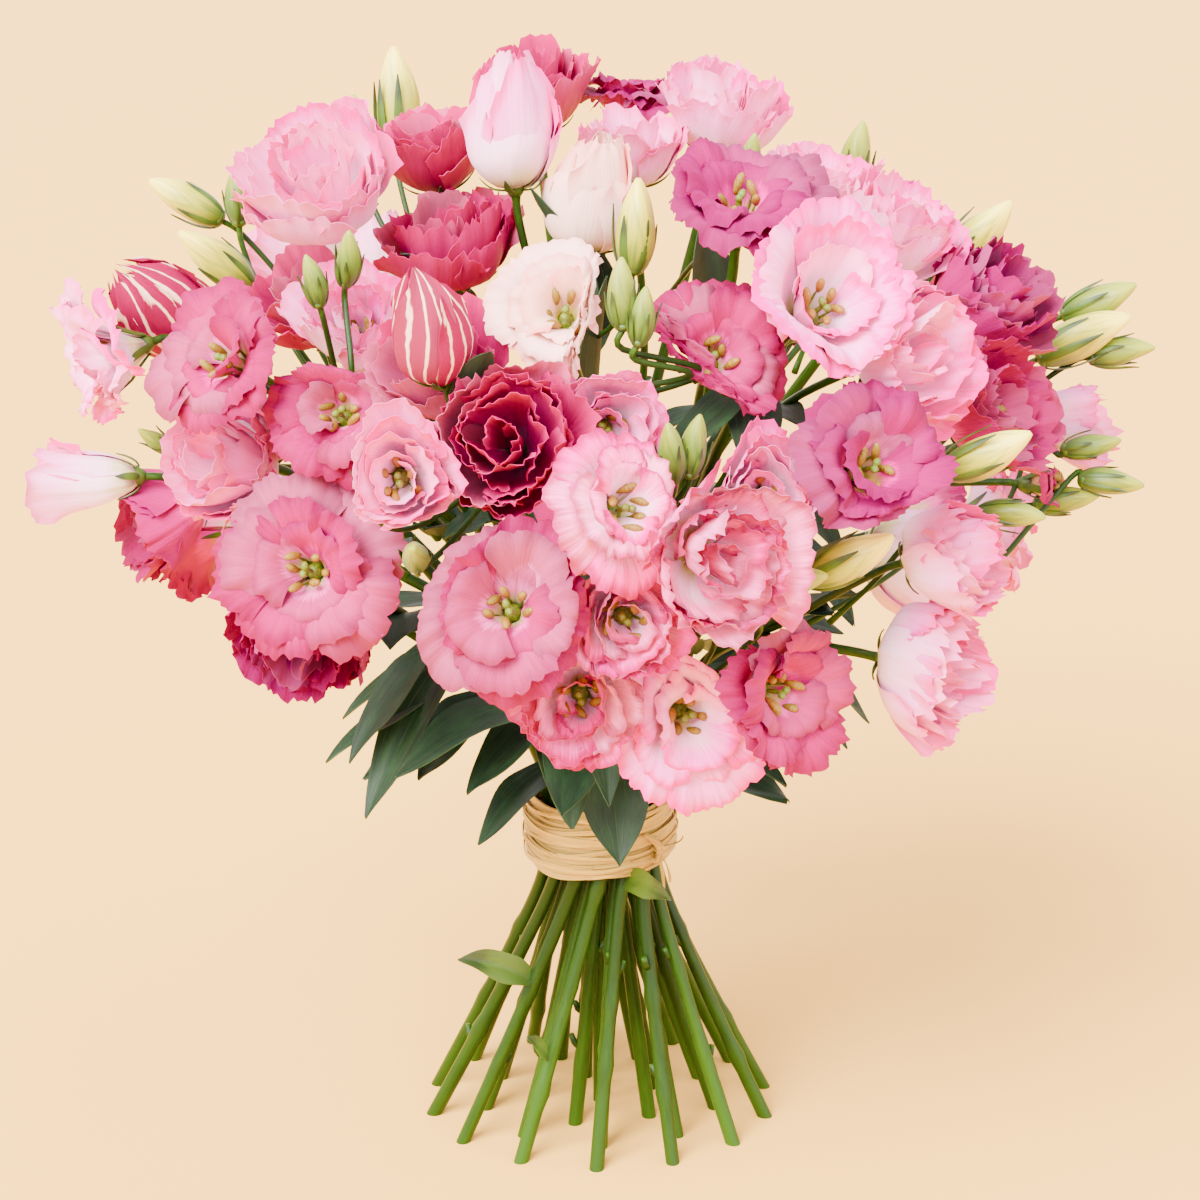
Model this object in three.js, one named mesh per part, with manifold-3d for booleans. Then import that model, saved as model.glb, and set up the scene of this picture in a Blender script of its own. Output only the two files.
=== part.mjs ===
// A hand-tied bouquet of lisianthus. The flowering stems lie in a spiral and are bound at the
// waist with raffia, so their cut ends splay out and the bouquet stands on them by itself.
// Millimetres, +Z up, the viewer stands on the -Y side. The table is at z = 0.
import * as THREE from "three";
import { mergeVertices } from "three/addons/utils/BufferGeometryUtils.js";
import Module from "manifold-3d";

const wasm = await Module();
wasm.setup();

// ---------------------------------------------------------------- driving dimensions

const DEG = Math.PI / 180;
const WAIST_HEIGHT = 132; // middle of the raffia
const WAIST_BAND = 30; // height of the raffia
const STEM_RADIUS = 2.9; // at the cut end
const NECK_LENGTH = 22; // straight stem above the waist, before it bends to its bloom
const PETAL = 1.0; // thickness of a petal
const GAP = 0.35; // air between two pieces that press on each other

// The blooms lie on this egg-shaped head, centred over the waist and flatter behind.
const HEAD = { height: 292, across: 178, deep: 165, back: 132, tall: 124 };

// The bouquet is laid out as its maker sees it: from this far away and this much above the
// horizon, looking at a point of the axis at this height.
const LAYOUT = { distance: 1133, tilt: 20 * DEG, height: 227 };

// Rings of stems at the waist, from the middle outwards: how many stems, at what radius, how
// far the foot of each leans out for each millimetre down.
const RINGS = [
  { stems: 1, radius: 0, lean: 0 },
  { stems: 5, radius: 6.6, lean: 0.2 },
  { stems: 9, radius: 13.4, lean: 0.36 },
  { stems: 14, radius: 20.4, lean: 0.52 },
];
const SPIRAL = 0.55; // share of the lean that turns stems round the axis instead of outwards
const FOOT_DEPTH = 0.76; // the feet spread this much less to the front and back than sideways

// ---------------------------------------------------------------- what each stem carries

// A bloom is [kind, across, up, back, turn, lift, width]. across and up are its middle in the
// layout view, back moves it away from the viewer, turn and lift are the degrees that it faces
// to the right and up from the viewer. A bud is [across, up, back, turn, lift, length].
const FRONT_STEMS = [
  { colour: "pink", blooms: [["open", -118, 12, 0, -12, 2, 78], ["rose", -122, -28, 22, -15, -42, 58]] },
  { colour: "pink", blooms: [["open", -106, 76, -4, -8, 10, 62], ["open", -146, 94, 4, -35, 15, 64]],
    buds: [[-115, 128, -14, -25, 60, 19], [-101, 137, -14, 10, 55, 21]] },
  { colour: "pink", blooms: [["open", -36, -4, -6, -6, 8, 78], ["cup", 10, -8, 14, 5, -10, 48]] },
  { colour: "blush", blooms: [["cup", -8, -40, 0, 0, -12, 50], ["open", 34, -46, -6, 18, -12, 74]] },
  { colour: "pink", blooms: [["open", 68, -36, 4, 45, -5, 68]],
    buds: [[78, 6, 0, 60, 15, 25], [100, 17, 6, 62, 25, 35]] },
  { colour: "blush", blooms: [["rose", 130, -26, 0, 62, -8, 62], ["rose", 142, 19, 0, 62, 10, 58]],
    buds: [[187, 40, 10, 80, 8, 24], [165, 34, -8, 70, -5, 24]] },
  { colour: "pink", blooms: [["open", 106, 52, -4, 30, 10, 72], ["cup", 64, 42, 4, -5, 0, 52]],
    buds: [[155, 59, -12, 65, 22, 34]] },
  { colour: "blush", blooms: [["open", 8, 36, -6, 34, 6, 62], ["rose", 47, 16, 0, 22, -6, 60]],
    buds: [[28, 59, 6, -10, 60, 22], [38, 62, 8, 20, 65, 22]] },
  { colour: "deep", blooms: [["rose", -38, 64, -2, -10, 4, 66], ["cup", -62, 90, 26, -10, 20, 52]],
    buds: [[-92, 47, -4, -20, 55, 21], [-74, 17, -4, 0, 15, 22]] },
  { colour: "blush", blooms: [["rose", -150, 54, -2, -32, 6, 58], ["open", -190, 98, 6, -66, -22, 70]],
    buds: [[-178, 64, 0, -60, 30, 15]] },
  { colour: "pink", blooms: [["cup", -178, 36, 10, -62, -22, 58], ["tube", -206, 48, 0, -88, -2, 34]] },
  { colour: "striped", blooms: [["furled", -170, 114, 0, -50, 30, 38], ["cup", -120, 122, 10, -20, 42, 52]],
    buds: [[-166, 160, 8, -75, 28, 31], [-145, 162, 0, -8, 75, 22], [-154, 136, -8, -62, 34, 35]] },
  { colour: "blush", blooms: [["rose", -108, 162, 0, -16, 34, 64], ["cup", -100, 110, 24, -10, 22, 52]] },
  { colour: "deep", blooms: [["rose", -62, 150, 0, -10, 52, 56], ["cup", -66, 176, 30, -20, 60, 54]],
    buds: [[-82, 201, 24, -5, 80, 40], [-97, 188, 20, -18, 72, 28]] },
  { colour: "cream", blooms: [["tulip", -4, 168, 0, 0, 68, 38], ["tulip", -34, 184, 10, -8, 72, 38]],
    buds: [[14, 150, 4, 14, 75, 33]] },
  { colour: "cream", blooms: [["open", -14, 114, 0, 0, 12, 58], ["cup", 2, 70, 6, 5, -5, 52]],
    buds: [[9, 123, -8, -5, 75, 24], [17, 114, -6, 20, 68, 20]] },
  { colour: "deep", blooms: [["rose", -26, 203, 46, -10, 66, 54], ["open", 12, 196, 52, 8, 72, 60]] },
  { colour: "blush", blooms: [["rose", 48, 192, 12, 16, 58, 54], ["cup", 14, 182, 26, 4, 66, 48]],
    buds: [[60, 177, 0, 20, 60, 19]] },
  { colour: "pink", blooms: [["open", 55, 154, 0, 4, 44, 76], ["open", 46, 98, -2, 4, 6, 68]] },
  { colour: "blush", blooms: [["rose", 117, 146, 12, 32, 48, 52], ["cup", 90, 164, 22, 22, 58, 50]],
    buds: [[103, 177, 8, 18, 66, 29]] },
  { colour: "blush", blooms: [["bell", 90, 118, -4, 25, 18, 66], ["rose", 122, 98, 2, 34, 8, 56]] },
  { colour: "pink", blooms: [["rose", 154, 118, 4, 44, 36, 60], ["cup", 157, 78, 2, 55, 14, 60]],
    buds: [[151, 147, 4, 58, 38, 36]] },
  { colour: "blush", blooms: [["cup", 188, 72, 24, 80, 10, 50], ["open", 180, 46, 28, 76, -4, 50]],
    buds: [[194, 105, 8, 76, 24, 38], [200, 120, 14, 70, 22, 30], [209, 99, 16, 84, 8, 25],
      [197, 62, 4, 80, 10, 22], [205, 47, 8, 86, -6, 24]] },
  { colour: "striped", blooms: [["furled", -67, 108, -4, -20, 52, 32], ["cup", -78, 46, 28, 0, -8, 52]] },
];

// Behind, a bloom is [kind, round, height, width]: the degrees round the axis from the viewer,
// anticlockwise seen from above, and its height over the table.
const BACK_STEMS = [
  { colour: "blush", blooms: [["open", 112, 262, 72], ["rose", 104, 218, 62], ["cup", 132, 230, 60]] },
  { colour: "pink", blooms: [["open", 150, 318, 72], ["rose", 134, 342, 62], ["cup", 150, 370, 60]] },
  { colour: "deep", blooms: [["open", 180, 250, 76], ["rose", 168, 208, 62], ["cup", 194, 206, 60]] },
  { colour: "blush", blooms: [["open", 210, 318, 72], ["cup", 226, 342, 62], ["rose", 208, 372, 60]] },
  { colour: "pink", blooms: [["open", 246, 262, 72], ["rose", 256, 218, 62], ["cup", 228, 230, 60]] },
];

const COLOURS = { pink: 0xf07aa4, blush: 0xf6c9d6, deep: 0xd23a72, cream: 0xf6e6dc, striped: 0xb83462 };
const GREEN = 0x4f8a2c;
const RAFFIA = 0xe3c28c;

// Each kind of bloom by its half section, as shares of its width: Bezier points [radius,
// height] of the outer and the inner petals, the height of its heart, and how deep the rim is
// notched between the petals.
const KINDS = {
  open: { outer: [[0.05, 0], [0.15, 0.2], [0.33, 0.32], [0.5, 0.34]],
    inner: [0.31, 0.4], heart: 0.16, notch: 0.12 },
  bell: { outer: [[0.05, 0], [0.27, 0.08], [0.34, 0.4], [0.5, 0.58]],
    inner: [0.3, 0.5], heart: 0.16, notch: 0.12 },
  cup: { outer: [[0.05, 0], [0.3, 0.04], [0.42, 0.28], [0.49, 0.55]],
    inner: [0.29, 0.52], heart: 0.2, notch: 0.12 },
  rose: { outer: [[0.05, 0], [0.36, 0.02], [0.5, 0.28], [0.47, 0.56]],
    inner: [0.25, 0.56], heart: 0.34, notch: 0.12 },
  tulip: { outer: [[0.06, 0], [0.6, 0.02], [0.62, 0.85], [0.26, 1.25]],
    inner: [0.12, 1.2], heart: 1.1, notch: 0.08 },
  tube: { outer: [[0.1, 0], [0.42, 0.12], [0.3, 1.0], [0.5, 1.3]],
    inner: [0.3, 1.1], heart: 0.5, notch: 0.16 },
  furled: { outer: [[0.08, 0], [0.62, 0.1], [0.6, 0.9], [0.1, 1.36]],
    inner: [0.04, 1.36], heart: 1.34, notch: 0.04 },
};
const SECTORS = 10; // round a bloom
const PLUMP = 0.21; // radius of a bud for its length

// ---------------------------------------------------------------- small helpers

const vec = (x, y, z) => new THREE.Vector3(x, y, z);
const UP = vec(0, 0, 1);
const mix = (a, b, t) => a.clone().lerp(b, t);
const VIEWER = vec(0, -Math.cos(LAYOUT.tilt), Math.sin(LAYOUT.tilt));
const RIGHT = vec(1, 0, 0);
const ACROSS_VIEW_UP = vec(0, Math.sin(LAYOUT.tilt), Math.cos(LAYOUT.tilt));

// A repeatable draw from -1 to 1 for two whole numbers.
function draw(a, b) {
  const s = Math.sin(a * 12.9898 + b * 78.233) * 43758.5453;
  return 2 * (s - Math.floor(s)) - 1;
}

function bezier(points, t) {
  const k = [(1 - t) ** 3, 3 * t * (1 - t) ** 2, 3 * t * t * (1 - t), t ** 3];
  return [0, 1].map((axis) => points.reduce((sum, p, i) => sum + k[i] * p[axis], 0));
}

// Two directions across `axis`, turned round it by `spin`.
function acrossAxis(axis, spin = 0) {
  const helper = Math.abs(axis.z) > 0.95 ? vec(0, 1, 0) : UP;
  const u = helper.clone().cross(axis).normalize();
  const w = axis.clone().cross(u);
  return [
    u.clone().multiplyScalar(Math.cos(spin)).addScaledVector(w, Math.sin(spin)),
    w.clone().multiplyScalar(Math.cos(spin)).addScaledVector(u, -Math.sin(spin)),
  ];
}

// A closed solid through rings of points. A ring of one point is a pole. `creased` holds the
// strips that are split along the other diagonal, so that both faces of a blade crease alike.
function loft(rings, creased = []) {
  const points = rings.flat();
  const starts = rings.map((_, k) => rings.slice(0, k).flat().length);
  const faces = [];
  for (let k = 0; k + 1 < rings.length; k++) {
    const [n, m] = [rings[k].length, rings[k + 1].length];
    for (let i = 0; i < Math.max(n, m); i++) {
      const [a, b] = [starts[k] + (i % n), starts[k] + ((i + 1) % n)];
      const [d, c] = [starts[k + 1] + (i % m), starts[k + 1] + ((i + 1) % m)];
      if (n === 1) faces.push([a, c, d]);
      else if (m === 1) faces.push([a, b, c]);
      else if (creased.includes(k)) faces.push([a, b, d], [b, c, d]);
      else faces.push([a, b, c], [a, c, d]);
    }
  }
  const last = rings.length - 1;
  for (let i = 1; i + 1 < rings[0].length; i++) faces.push([0, i + 1, i]);
  for (let i = 1; i + 1 < rings[last].length; i++)
    faces.push([starts[last], starts[last] + i, starts[last] + i + 1]);
  return solid(points.flatMap((p) => [p.x, p.y, p.z]), faces.flat());
}

function solid(numbers, indices) {
  const mesh = { numProp: 3, vertProperties: new Float32Array(numbers), triVerts: new Uint32Array(indices) };
  const made = new wasm.Manifold(new wasm.Mesh(mesh));
  if (made.volume() > 0) return made;
  mesh.triVerts.reverse();
  return new wasm.Manifold(new wasm.Mesh(mesh));
}

// Joins solids into one body: hollows that the joining seals are filled, loose scraps dropped.
function fuse(solids) {
  const shells = wasm.Manifold.union(solids).decompose();
  return shells.reduce((best, s) => (s.volume() > best.volume() ? s : best));
}

// ---------------------------------------------------------------- where the blooms sit

// The point of the head's surface that the viewer sees at (across, up).
function onHead(across, up, back) {
  const middle = vec(0, 0, LAYOUT.height);
  const eye = middle.clone().addScaledVector(VIEWER, LAYOUT.distance);
  const aim = middle.clone().addScaledVector(RIGHT, across).addScaledVector(ACROSS_VIEW_UP, up);
  const ray = aim.sub(eye).normalize();
  const squash = vec(1 / HEAD.across, 1 / HEAD.deep, 1 / HEAD.tall);
  const from = eye.clone().sub(vec(0, 0, HEAD.height)).multiply(squash);
  const along = ray.clone().multiply(squash);
  const [a, b, c] = [along.dot(along), from.dot(along), from.dot(from) - 1];
  const t = (-b - Math.sqrt(Math.max(0, b * b - a * c))) / a;
  return eye.addScaledVector(ray, t + back);
}

function facing(turn, lift) {
  const [c, s] = [Math.cos(lift * DEG), Math.sin(lift * DEG)];
  return VIEWER.clone().multiplyScalar(c * Math.cos(turn * DEG))
    .addScaledVector(RIGHT, c * Math.sin(turn * DEG)).addScaledVector(ACROSS_VIEW_UP, s);
}

function frontBloom([kind, across, up, back, turn, lift, width]) {
  return { kind, width, middle: onHead(across, up, back), axis: facing(turn, lift), sight: VIEWER };
}

function backBloom([kind, round, height, width]) {
  const rise = (height - HEAD.height) / HEAD.tall;
  const reach = Math.sqrt(1 - rise * rise);
  const [x, y] = [Math.sin(round * DEG), -Math.cos(round * DEG)];
  const middle = vec(x * reach * HEAD.across, y * reach * HEAD.back, height);
  const axis = middle.clone().sub(vec(0, 0, HEAD.height - 40)).normalize();
  return { kind, width, middle, axis, sight: axis };
}

const stems = [
  ...FRONT_STEMS.map((row) => ({ ...row, blooms: row.blooms.map(frontBloom) })),
  ...BACK_STEMS.map((row) => ({ ...row, blooms: row.blooms.map(backBloom) })),
];
stems.forEach((stem, s) => {
  stem.number = s;
  stem.buds = (stem.buds ?? []).map(([across, up, back, turn, lift, length]) => (
    { middle: onHead(across, up, back), axis: facing(turn, lift), length, radius: length * PLUMP }));
  stem.blooms.forEach((bloom, i) => Object.assign(bloom, { stem: s, single: i > 0 && bloom.width < 60 }));
});
const blooms = stems.flatMap((stem) => stem.blooms);
blooms.forEach((bloom, i) => {
  const { outer } = KINDS[bloom.kind];
  bloom.number = i;
  bloom.depth = Math.max(outer[3][1], outer[2][1]) * bloom.width;
  bloom.section = [0, 0.35, 0.7, 1].map((t) => bezier(outer, t)).map(
    ([r, z]) => [r * bloom.width, z * bloom.width - bloom.depth / 2]);
  bloom.spin = Math.PI * draw(i, 1);
  bloom.home = bloom.middle.clone();
});

// How far a bloom reaches from its middle in direction `away`.
function reach(bloom, away) {
  const lengthwise = away.dot(bloom.axis);
  const sideways = Math.sqrt(Math.max(0, 1 - lengthwise * lengthwise));
  return Math.max(...bloom.section.map(([r, z]) => r * sideways + z * lengthwise));
}

function baseOf(bloom) {
  return bloom.middle.clone().addScaledVector(bloom.axis, -bloom.depth / 2);
}

// The direction in which bloom a presses on bloom b. Cups that face the same way press more
// on what is behind or before them than on what is beside them.
const FLATNESS = 2.3;
function pressing(a, b) {
  const apart = b.middle.clone().sub(a.middle);
  const shared = a.axis.clone().add(b.axis).multiplyScalar(0.5);
  return apart.addScaledVector(shared, FLATNESS * apart.dot(shared)).normalize();
}

// Blooms push each other apart as they open, mostly nearer to the viewer or further away.
// The blooms of one stem stay in touch.
const CROWDING = 0.86; // share of their reach that two blooms keep between their middles
const TOUCHING = 0.88; // and the blooms of one stem
const PUSH = 0.2; // share of what is missing that each moves in a round
const HOMING = 0.12; // share of what it strayed sideways that it goes back in a round
for (let round = 0; round < 80; round++) {
  for (const a of blooms) {
    for (const b of blooms.slice(a.number + 1)) {
      const away = pressing(a, b);
      const mates = a.stem === b.stem;
      const apart = b.middle.clone().sub(a.middle).dot(away);
      const want = (mates ? TOUCHING : CROWDING) * (reach(a, away) + reach(b, away.clone().negate()));
      const tied = mates && a === stems[a.stem].blooms[0];
      if (apart >= want && !tied) continue;
      a.middle.addScaledVector(away, -PUSH * (want - apart));
      b.middle.addScaledVector(away, PUSH * (want - apart));
    }
    const strayed = a.middle.clone().sub(a.home);
    strayed.addScaledVector(a.sight, -strayed.dot(a.sight));
    a.middle.addScaledVector(strayed, -HOMING);
  }
}

// Blooms of one stem lean on each other until their petals meet.
const SHARED = 15; // cubic millimetres
const LEAN = 0.8; // how far each leans over at a time
const MELT = 0.8; // how far each passes the plane between them
const SOFT = 0.6; // share of the way to that plane in which the petals already give way
const FORWARD = 0.3; // how far forward they go for each millimetre that they give
for (const { blooms: mates } of stems) {
  for (let i = 1; i < mates.length; i++) {
    const [a, b] = [mates[0], mates[i]];
    for (let step = 0; step < 40; step++) {
      for (const bloom of [a, b]) bloom.limits = limitsOf(bloom, []);
      if (bloomSolid(a).intersect(bloomSolid(b)).volume() > SHARED) break;
      const away = b.middle.clone().sub(a.middle).normalize();
      a.middle.addScaledVector(away, i > 1 ? 0 : LEAN);
      b.middle.addScaledVector(away, i > 1 ? -2 * LEAN : -LEAN);
    }
  }
}

// ---------------------------------------------------------------- where the stems run

// The middle line of a stem below and just above the waist, `rise` over the waist.
function waistPoint(ring, slot, rise) {
  const out = Math.hypot(ring.radius, ring.lean * rise);
  const deep = Math.hypot(ring.radius, ring.lean * FOOT_DEPTH * rise);
  const turn = slot + SPIRAL * Math.atan2(ring.lean * rise, ring.radius || 1);
  return vec(out * Math.cos(turn), deep * Math.sin(turn), WAIST_HEIGHT + rise);
}

// Stems whose blooms sit high go to the inner rings, and each ring keeps the order of its
// blooms round the bouquet, so that no two stems cross.
for (const stem of stems) {
  const heart = vec(0, 0, 0);
  for (const bloom of stem.blooms) heart.addScaledVector(baseOf(bloom), 1 / stem.blooms.length);
  stem.steep = Math.atan2(Math.hypot(heart.x, heart.y), heart.z - WAIST_HEIGHT);
  stem.round = Math.atan2(heart.y, heart.x);
}
const bySteepness = [...stems].sort((a, b) => a.steep - b.steep);
for (const ring of RINGS) {
  const members = bySteepness.splice(0, ring.stems).sort((a, b) => a.round - b.round);
  const step = (2 * Math.PI) / ring.stems;
  const offsets = members.map((stem, i) => stem.round - i * step);
  const start = Math.atan2(
    offsets.reduce((sum, x) => sum + Math.sin(x), 0), offsets.reduce((sum, x) => sum + Math.cos(x), 0));
  const turned = SPIRAL * Math.atan2(ring.lean * NECK_LENGTH, ring.radius || 1);
  members.forEach((stem, i) => Object.assign(stem, { ring, slot: start + i * step - turned }));
}

// A curve that leaves `from` along `heading` and arrives at `to` along `arrival`.
function bend(from, heading, to, arrival, reach = 0.38) {
  const length = from.distanceTo(to) * reach;
  return new THREE.CubicBezierCurve3(from, from.clone().addScaledVector(heading, length),
    to.clone().addScaledVector(arrival, -length), to);
}

const BRANCH_AT = 0.44; // where the second bloom's branch leaves the stem's curve
const BUDS_AT = 0.65; // where the buds' stalks leave it
const SHARES = [0, 0.3, 0.6, 0.9, 1]; // the points of a stem's line
const CLEAR = 1.6; // stems that pass each other leave at least this
const STAND_OFF = 0.74; // stems pass a bloom at this share of its reach

// A line from a curve; its last piece runs straight into the flower or bud that it carries.
function lineFrom(curve, radius, owner) {
  return { points: SHARES.map((t) => curve.getPoint(t)), radius, owner };
}

// Bends lines round the blooms and the other lines that stand in their way.
function bendClear(moving, all) {
  const way = vec(0, 0, 0);
  const spot = vec(0, 0, 0);
  for (let round = 0; round < 40; round++) {
    for (const { points, radius, owner, stem } of moving) {
      const last = points.length - 2;
      for (let quarter = 1; quarter < 4 * last; quarter++) {
        const [a, share] = [Math.floor(quarter / 4), (quarter % 4) / 4];
        const push = (far, room) => {
          if (far >= room || far < 0.01) return;
          way.setLength(0.5 * (room - far));
          if (a > 0) points[a].addScaledVector(way, 1 - share);
          if (a + 1 < last) points[a + 1].addScaledVector(way, share);
        };
        spot.lerpVectors(points[a], points[a + 1], share);
        for (const bloom of blooms) {
          if (bloom === owner) continue;
          const far = way.subVectors(spot, bloom.middle).length();
          push(far, STAND_OFF * reach(bloom, way.clone().normalize()) + radius + 1);
        }
        for (const other of all) {
          if (other.stem === stem) continue;
          const far = way.subVectors(spot, nearest(other.points, spot)).length();
          push(far, radius + other.radius + CLEAR);
        }
      }
    }
  }
}

function nearest(points, place) {
  const line = new THREE.Line3();
  const best = vec(1e6, 0, 0);
  const found = vec(0, 0, 0);
  for (let i = 0; i + 1 < points.length; i++) {
    line.set(points[i], points[i + 1]).closestPointToPoint(place, true, found);
    if (found.distanceTo(place) < best.distanceTo(place)) best.copy(found);
  }
  return best;
}

// The point and the direction of a line at a share of its way.
function along({ points }, share) {
  const place = share * (points.length - 1);
  const [a, b] = [points[Math.floor(place)], points[Math.floor(place) + 1]];
  return [mix(a, b, place % 1), b.clone().sub(a).normalize()];
}

// A side stem leaves its line at an angle.
const FORK = 0.8; // how much it turns at once to where it is going
function fork(line, share, to, arrival) {
  const [from, heading] = along(line, share);
  const direct = to.clone().sub(from).normalize();
  return bend(from, heading.lerp(direct, FORK).normalize(), to, arrival);
}

const seat = (bloom) => baseOf(bloom).addScaledVector(bloom.axis, -GAP - PETAL / 2);
for (const [s, stem] of stems.entries()) {
  const neck = waistPoint(stem.ring, stem.slot, NECK_LENGTH);
  const heading = neck.clone().sub(waistPoint(stem.ring, stem.slot, NECK_LENGTH - 5)).normalize();
  const [first] = stem.blooms;
  stem.line = { ...lineFrom(bend(neck, heading, seat(first), first.axis), 2.5, first), stem: s };
}
const mainLines = stems.map((stem) => stem.line);
bendClear(mainLines, mainLines);
for (const [s, stem] of stems.entries()) {
  stem.branches = stem.blooms.slice(1).map((bloom, i) => {
    const curve = fork(stem.line, BRANCH_AT + 0.1 * i, seat(bloom), bloom.axis);
    return { ...lineFrom(curve, 1.8, bloom), stem: s };
  });
  stem.stalks = stem.buds.map((bud, i) => {
    const foot = bud.middle.clone().addScaledVector(bud.axis, -bud.length / 2);
    return { ...lineFrom(fork(stem.line, BUDS_AT + 0.06 * i, foot, bud.axis), 1.4, bud), stem: s };
  });
}
const sideLines = stems.flatMap((stem) => [...stem.branches, ...stem.stalks]);

// What the side stems, the petals and the leaves have to make way for.
const obstacles = [...mainLines, ...sideLines];
for (const stem of stems) {
  for (const bud of stem.buds) {
    const end = (share) => bud.middle.clone().addScaledVector(bud.axis, share * bud.length);
    const points = [end(-0.5), end(0.5)];
    obstacles.push({ points, radius: bud.radius + 0.4, owner: bud, stem: stem.number });
  }
}
bendClear(sideLines, obstacles);

// ---------------------------------------------------------------- stems, buds and leaves

// Rings round a line, `radii` wide, for a solid with `sides` sides. A flat start is cut level.
function tubeRings(line, radii, sides, levelStart = false) {
  let side = null;
  return line.map((point, k) => {
    const ahead = line[Math.min(k + 1, line.length - 1)];
    const heading = ahead.clone().sub(line[Math.max(k - 1, 0)]).normalize();
    side ??= acrossAxis(heading)[0];
    side = side.clone().addScaledVector(heading, -side.dot(heading)).normalize();
    const other = heading.clone().cross(side);
    return Array.from({ length: sides }, (_, i) => {
      const angle = (2 * Math.PI * i) / sides;
      const spoke = side.clone().multiplyScalar(Math.cos(angle)).addScaledVector(other, Math.sin(angle));
      if (levelStart && k === 0) spoke.addScaledVector(heading, -spoke.z / heading.z);
      return point.clone().addScaledVector(spoke, radii[k]);
    });
  });
}

const STEM_SIDES = 5;
const CALYX_RADIUS = 4.2;

function mainStem(stem) {
  const low = [-WAIST_HEIGHT, -NECK_LENGTH].map((rise) => waistPoint(stem.ring, stem.slot, rise));
  const radii = [STEM_RADIUS, 2.8, 2.7, 2.5, 2.2, 1.8, CALYX_RADIUS];
  return loft(tubeRings([...low, ...stem.line.points], radii, STEM_SIDES, true));
}

function branch(line) {
  const rings = tubeRings(line.points, [1.2, 1.8, 1.6, 1.6, CALYX_RADIUS], STEM_SIDES - 1);
  return loft([[line.points[0]], ...rings.slice(1)]);
}

// A bud closes its stalk: a calyx, a swollen belly, a twisted tip.
function budOnStalk(line, bud) {
  const foot = line.points[line.points.length - 1];
  const up = (share) => foot.clone().addScaledVector(bud.axis, bud.length * share);
  const points = [0, 2, 4].map((i) => line.points[i]);
  const rings = tubeRings([...points, up(0.45), up(1)], [0.9, 1.2, 1.6, bud.radius, 1], STEM_SIDES);
  return loft([[points[0]], ...rings.slice(1, 4), [up(1)]]);
}

// A point of a leaf from `root` along `heading`, at a share of its length and of its width
// from the midrib. The leaf droops to its tip and is hollowed along its midrib.
const LEAF_DROOP = 0.22;
const LEAF_HOLLOW = 0.3;
function leafPoint({ root, heading, length, width }, share, across) {
  const side = UP.clone().cross(heading).normalize();
  const top = heading.clone().cross(side).normalize();
  return root.clone().addScaledVector(heading, length * share).addScaledVector(side, width * across)
    .addScaledVector(top, LEAF_HOLLOW * width * Math.abs(across))
    .addScaledVector(UP, -LEAF_DROOP * length * share ** 2);
}

const LEAF_THICKNESS = 0.9;
function leaf(plan) {
  const thick = vec(0, 0, LEAF_THICKNESS);
  const section = (share, half) => {
    const under = [-half, 0, half].map((across) => leafPoint(plan, share, across));
    return [...under, ...under.map((point) => point.clone().add(thick)).reverse()];
  };
  return loft([[plan.root], section(0.36, 0.5), section(0.7, 0.33), [leafPoint(plan, 1, 0)]], [1]);
}

// ---------------------------------------------------------------- petals

// The planes that a bloom may not cross: halfway to each neighbour, and short of each stem
// that passes it. Each is a direction from its middle and how far it may reach that way.
function limitsOf(bloom, obstacles) {
  const limits = [];
  const add = (away, limit) => {
    const full = reach(bloom, away);
    if (limit < full) limits.push({ away, limit, full });
  };
  for (const other of blooms) {
    if (other === bloom) continue;
    const away = pressing(bloom, other);
    const apart = other.middle.clone().sub(bloom.middle).dot(away);
    const [mine, its] = [reach(bloom, away), reach(other, away.clone().negate())];
    const margin = other.stem === bloom.stem ? MELT : -PETAL / 2 - GAP;
    add(away, (apart * mine) / (mine + its) + margin);
  }
  for (const line of obstacles) {
    if (line.owner === bloom) continue;
    const away = nearest(line.points, bloom.middle).sub(bloom.middle);
    const room = away.length() - line.radius - PETAL / 2 - GAP;
    add(away.normalize(), Math.max(room, 0.2 * reach(bloom, away)));
  }
  return limits;
}

// Presses a point of a bloom back behind the bloom's limits, and a little forward as petals do.
function pressed(bloom, point) {
  for (const { away, limit, full } of bloom.limits) {
    const soft = SOFT * limit;
    const s = point.clone().sub(bloom.middle).dot(away);
    if (s <= limit - soft) continue;
    const give = (1 - soft / (soft + full - limit)) * (s - (limit - soft));
    const forward = bloom.axis.clone().addScaledVector(away, -bloom.axis.dot(away));
    point.addScaledVector(away, -give).addScaledVector(forward, FORWARD * give);
  }
  return point;
}

// A ring of the middle surface of a layer of five petals, at `t` from heart to rim.
function petalRing(bloom, curve, t, phase) {
  const { notch } = KINDS[bloom.kind];
  const [u, w] = acrossAxis(bloom.axis, bloom.spin);
  return Array.from({ length: SECTORS }, (_, i) => {
    const angle = (2 * Math.PI * i) / SECTORS;
    const lobe = Math.abs(Math.cos(2.5 * (angle - phase))) ** 0.7;
    const [r, z] = bezier(curve, t * (1 - notch * t * t * (1 - lobe)));
    const wave = 1 + 0.05 * t * t * draw(bloom.number * 31 + i, Math.round(phase * 10) + 3);
    return bloom.base.clone().addScaledVector(u, r * wave * bloom.width * Math.cos(angle))
      .addScaledVector(w, r * wave * bloom.width * Math.sin(angle))
      .addScaledVector(bloom.axis, z * bloom.width);
  });
}

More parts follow.
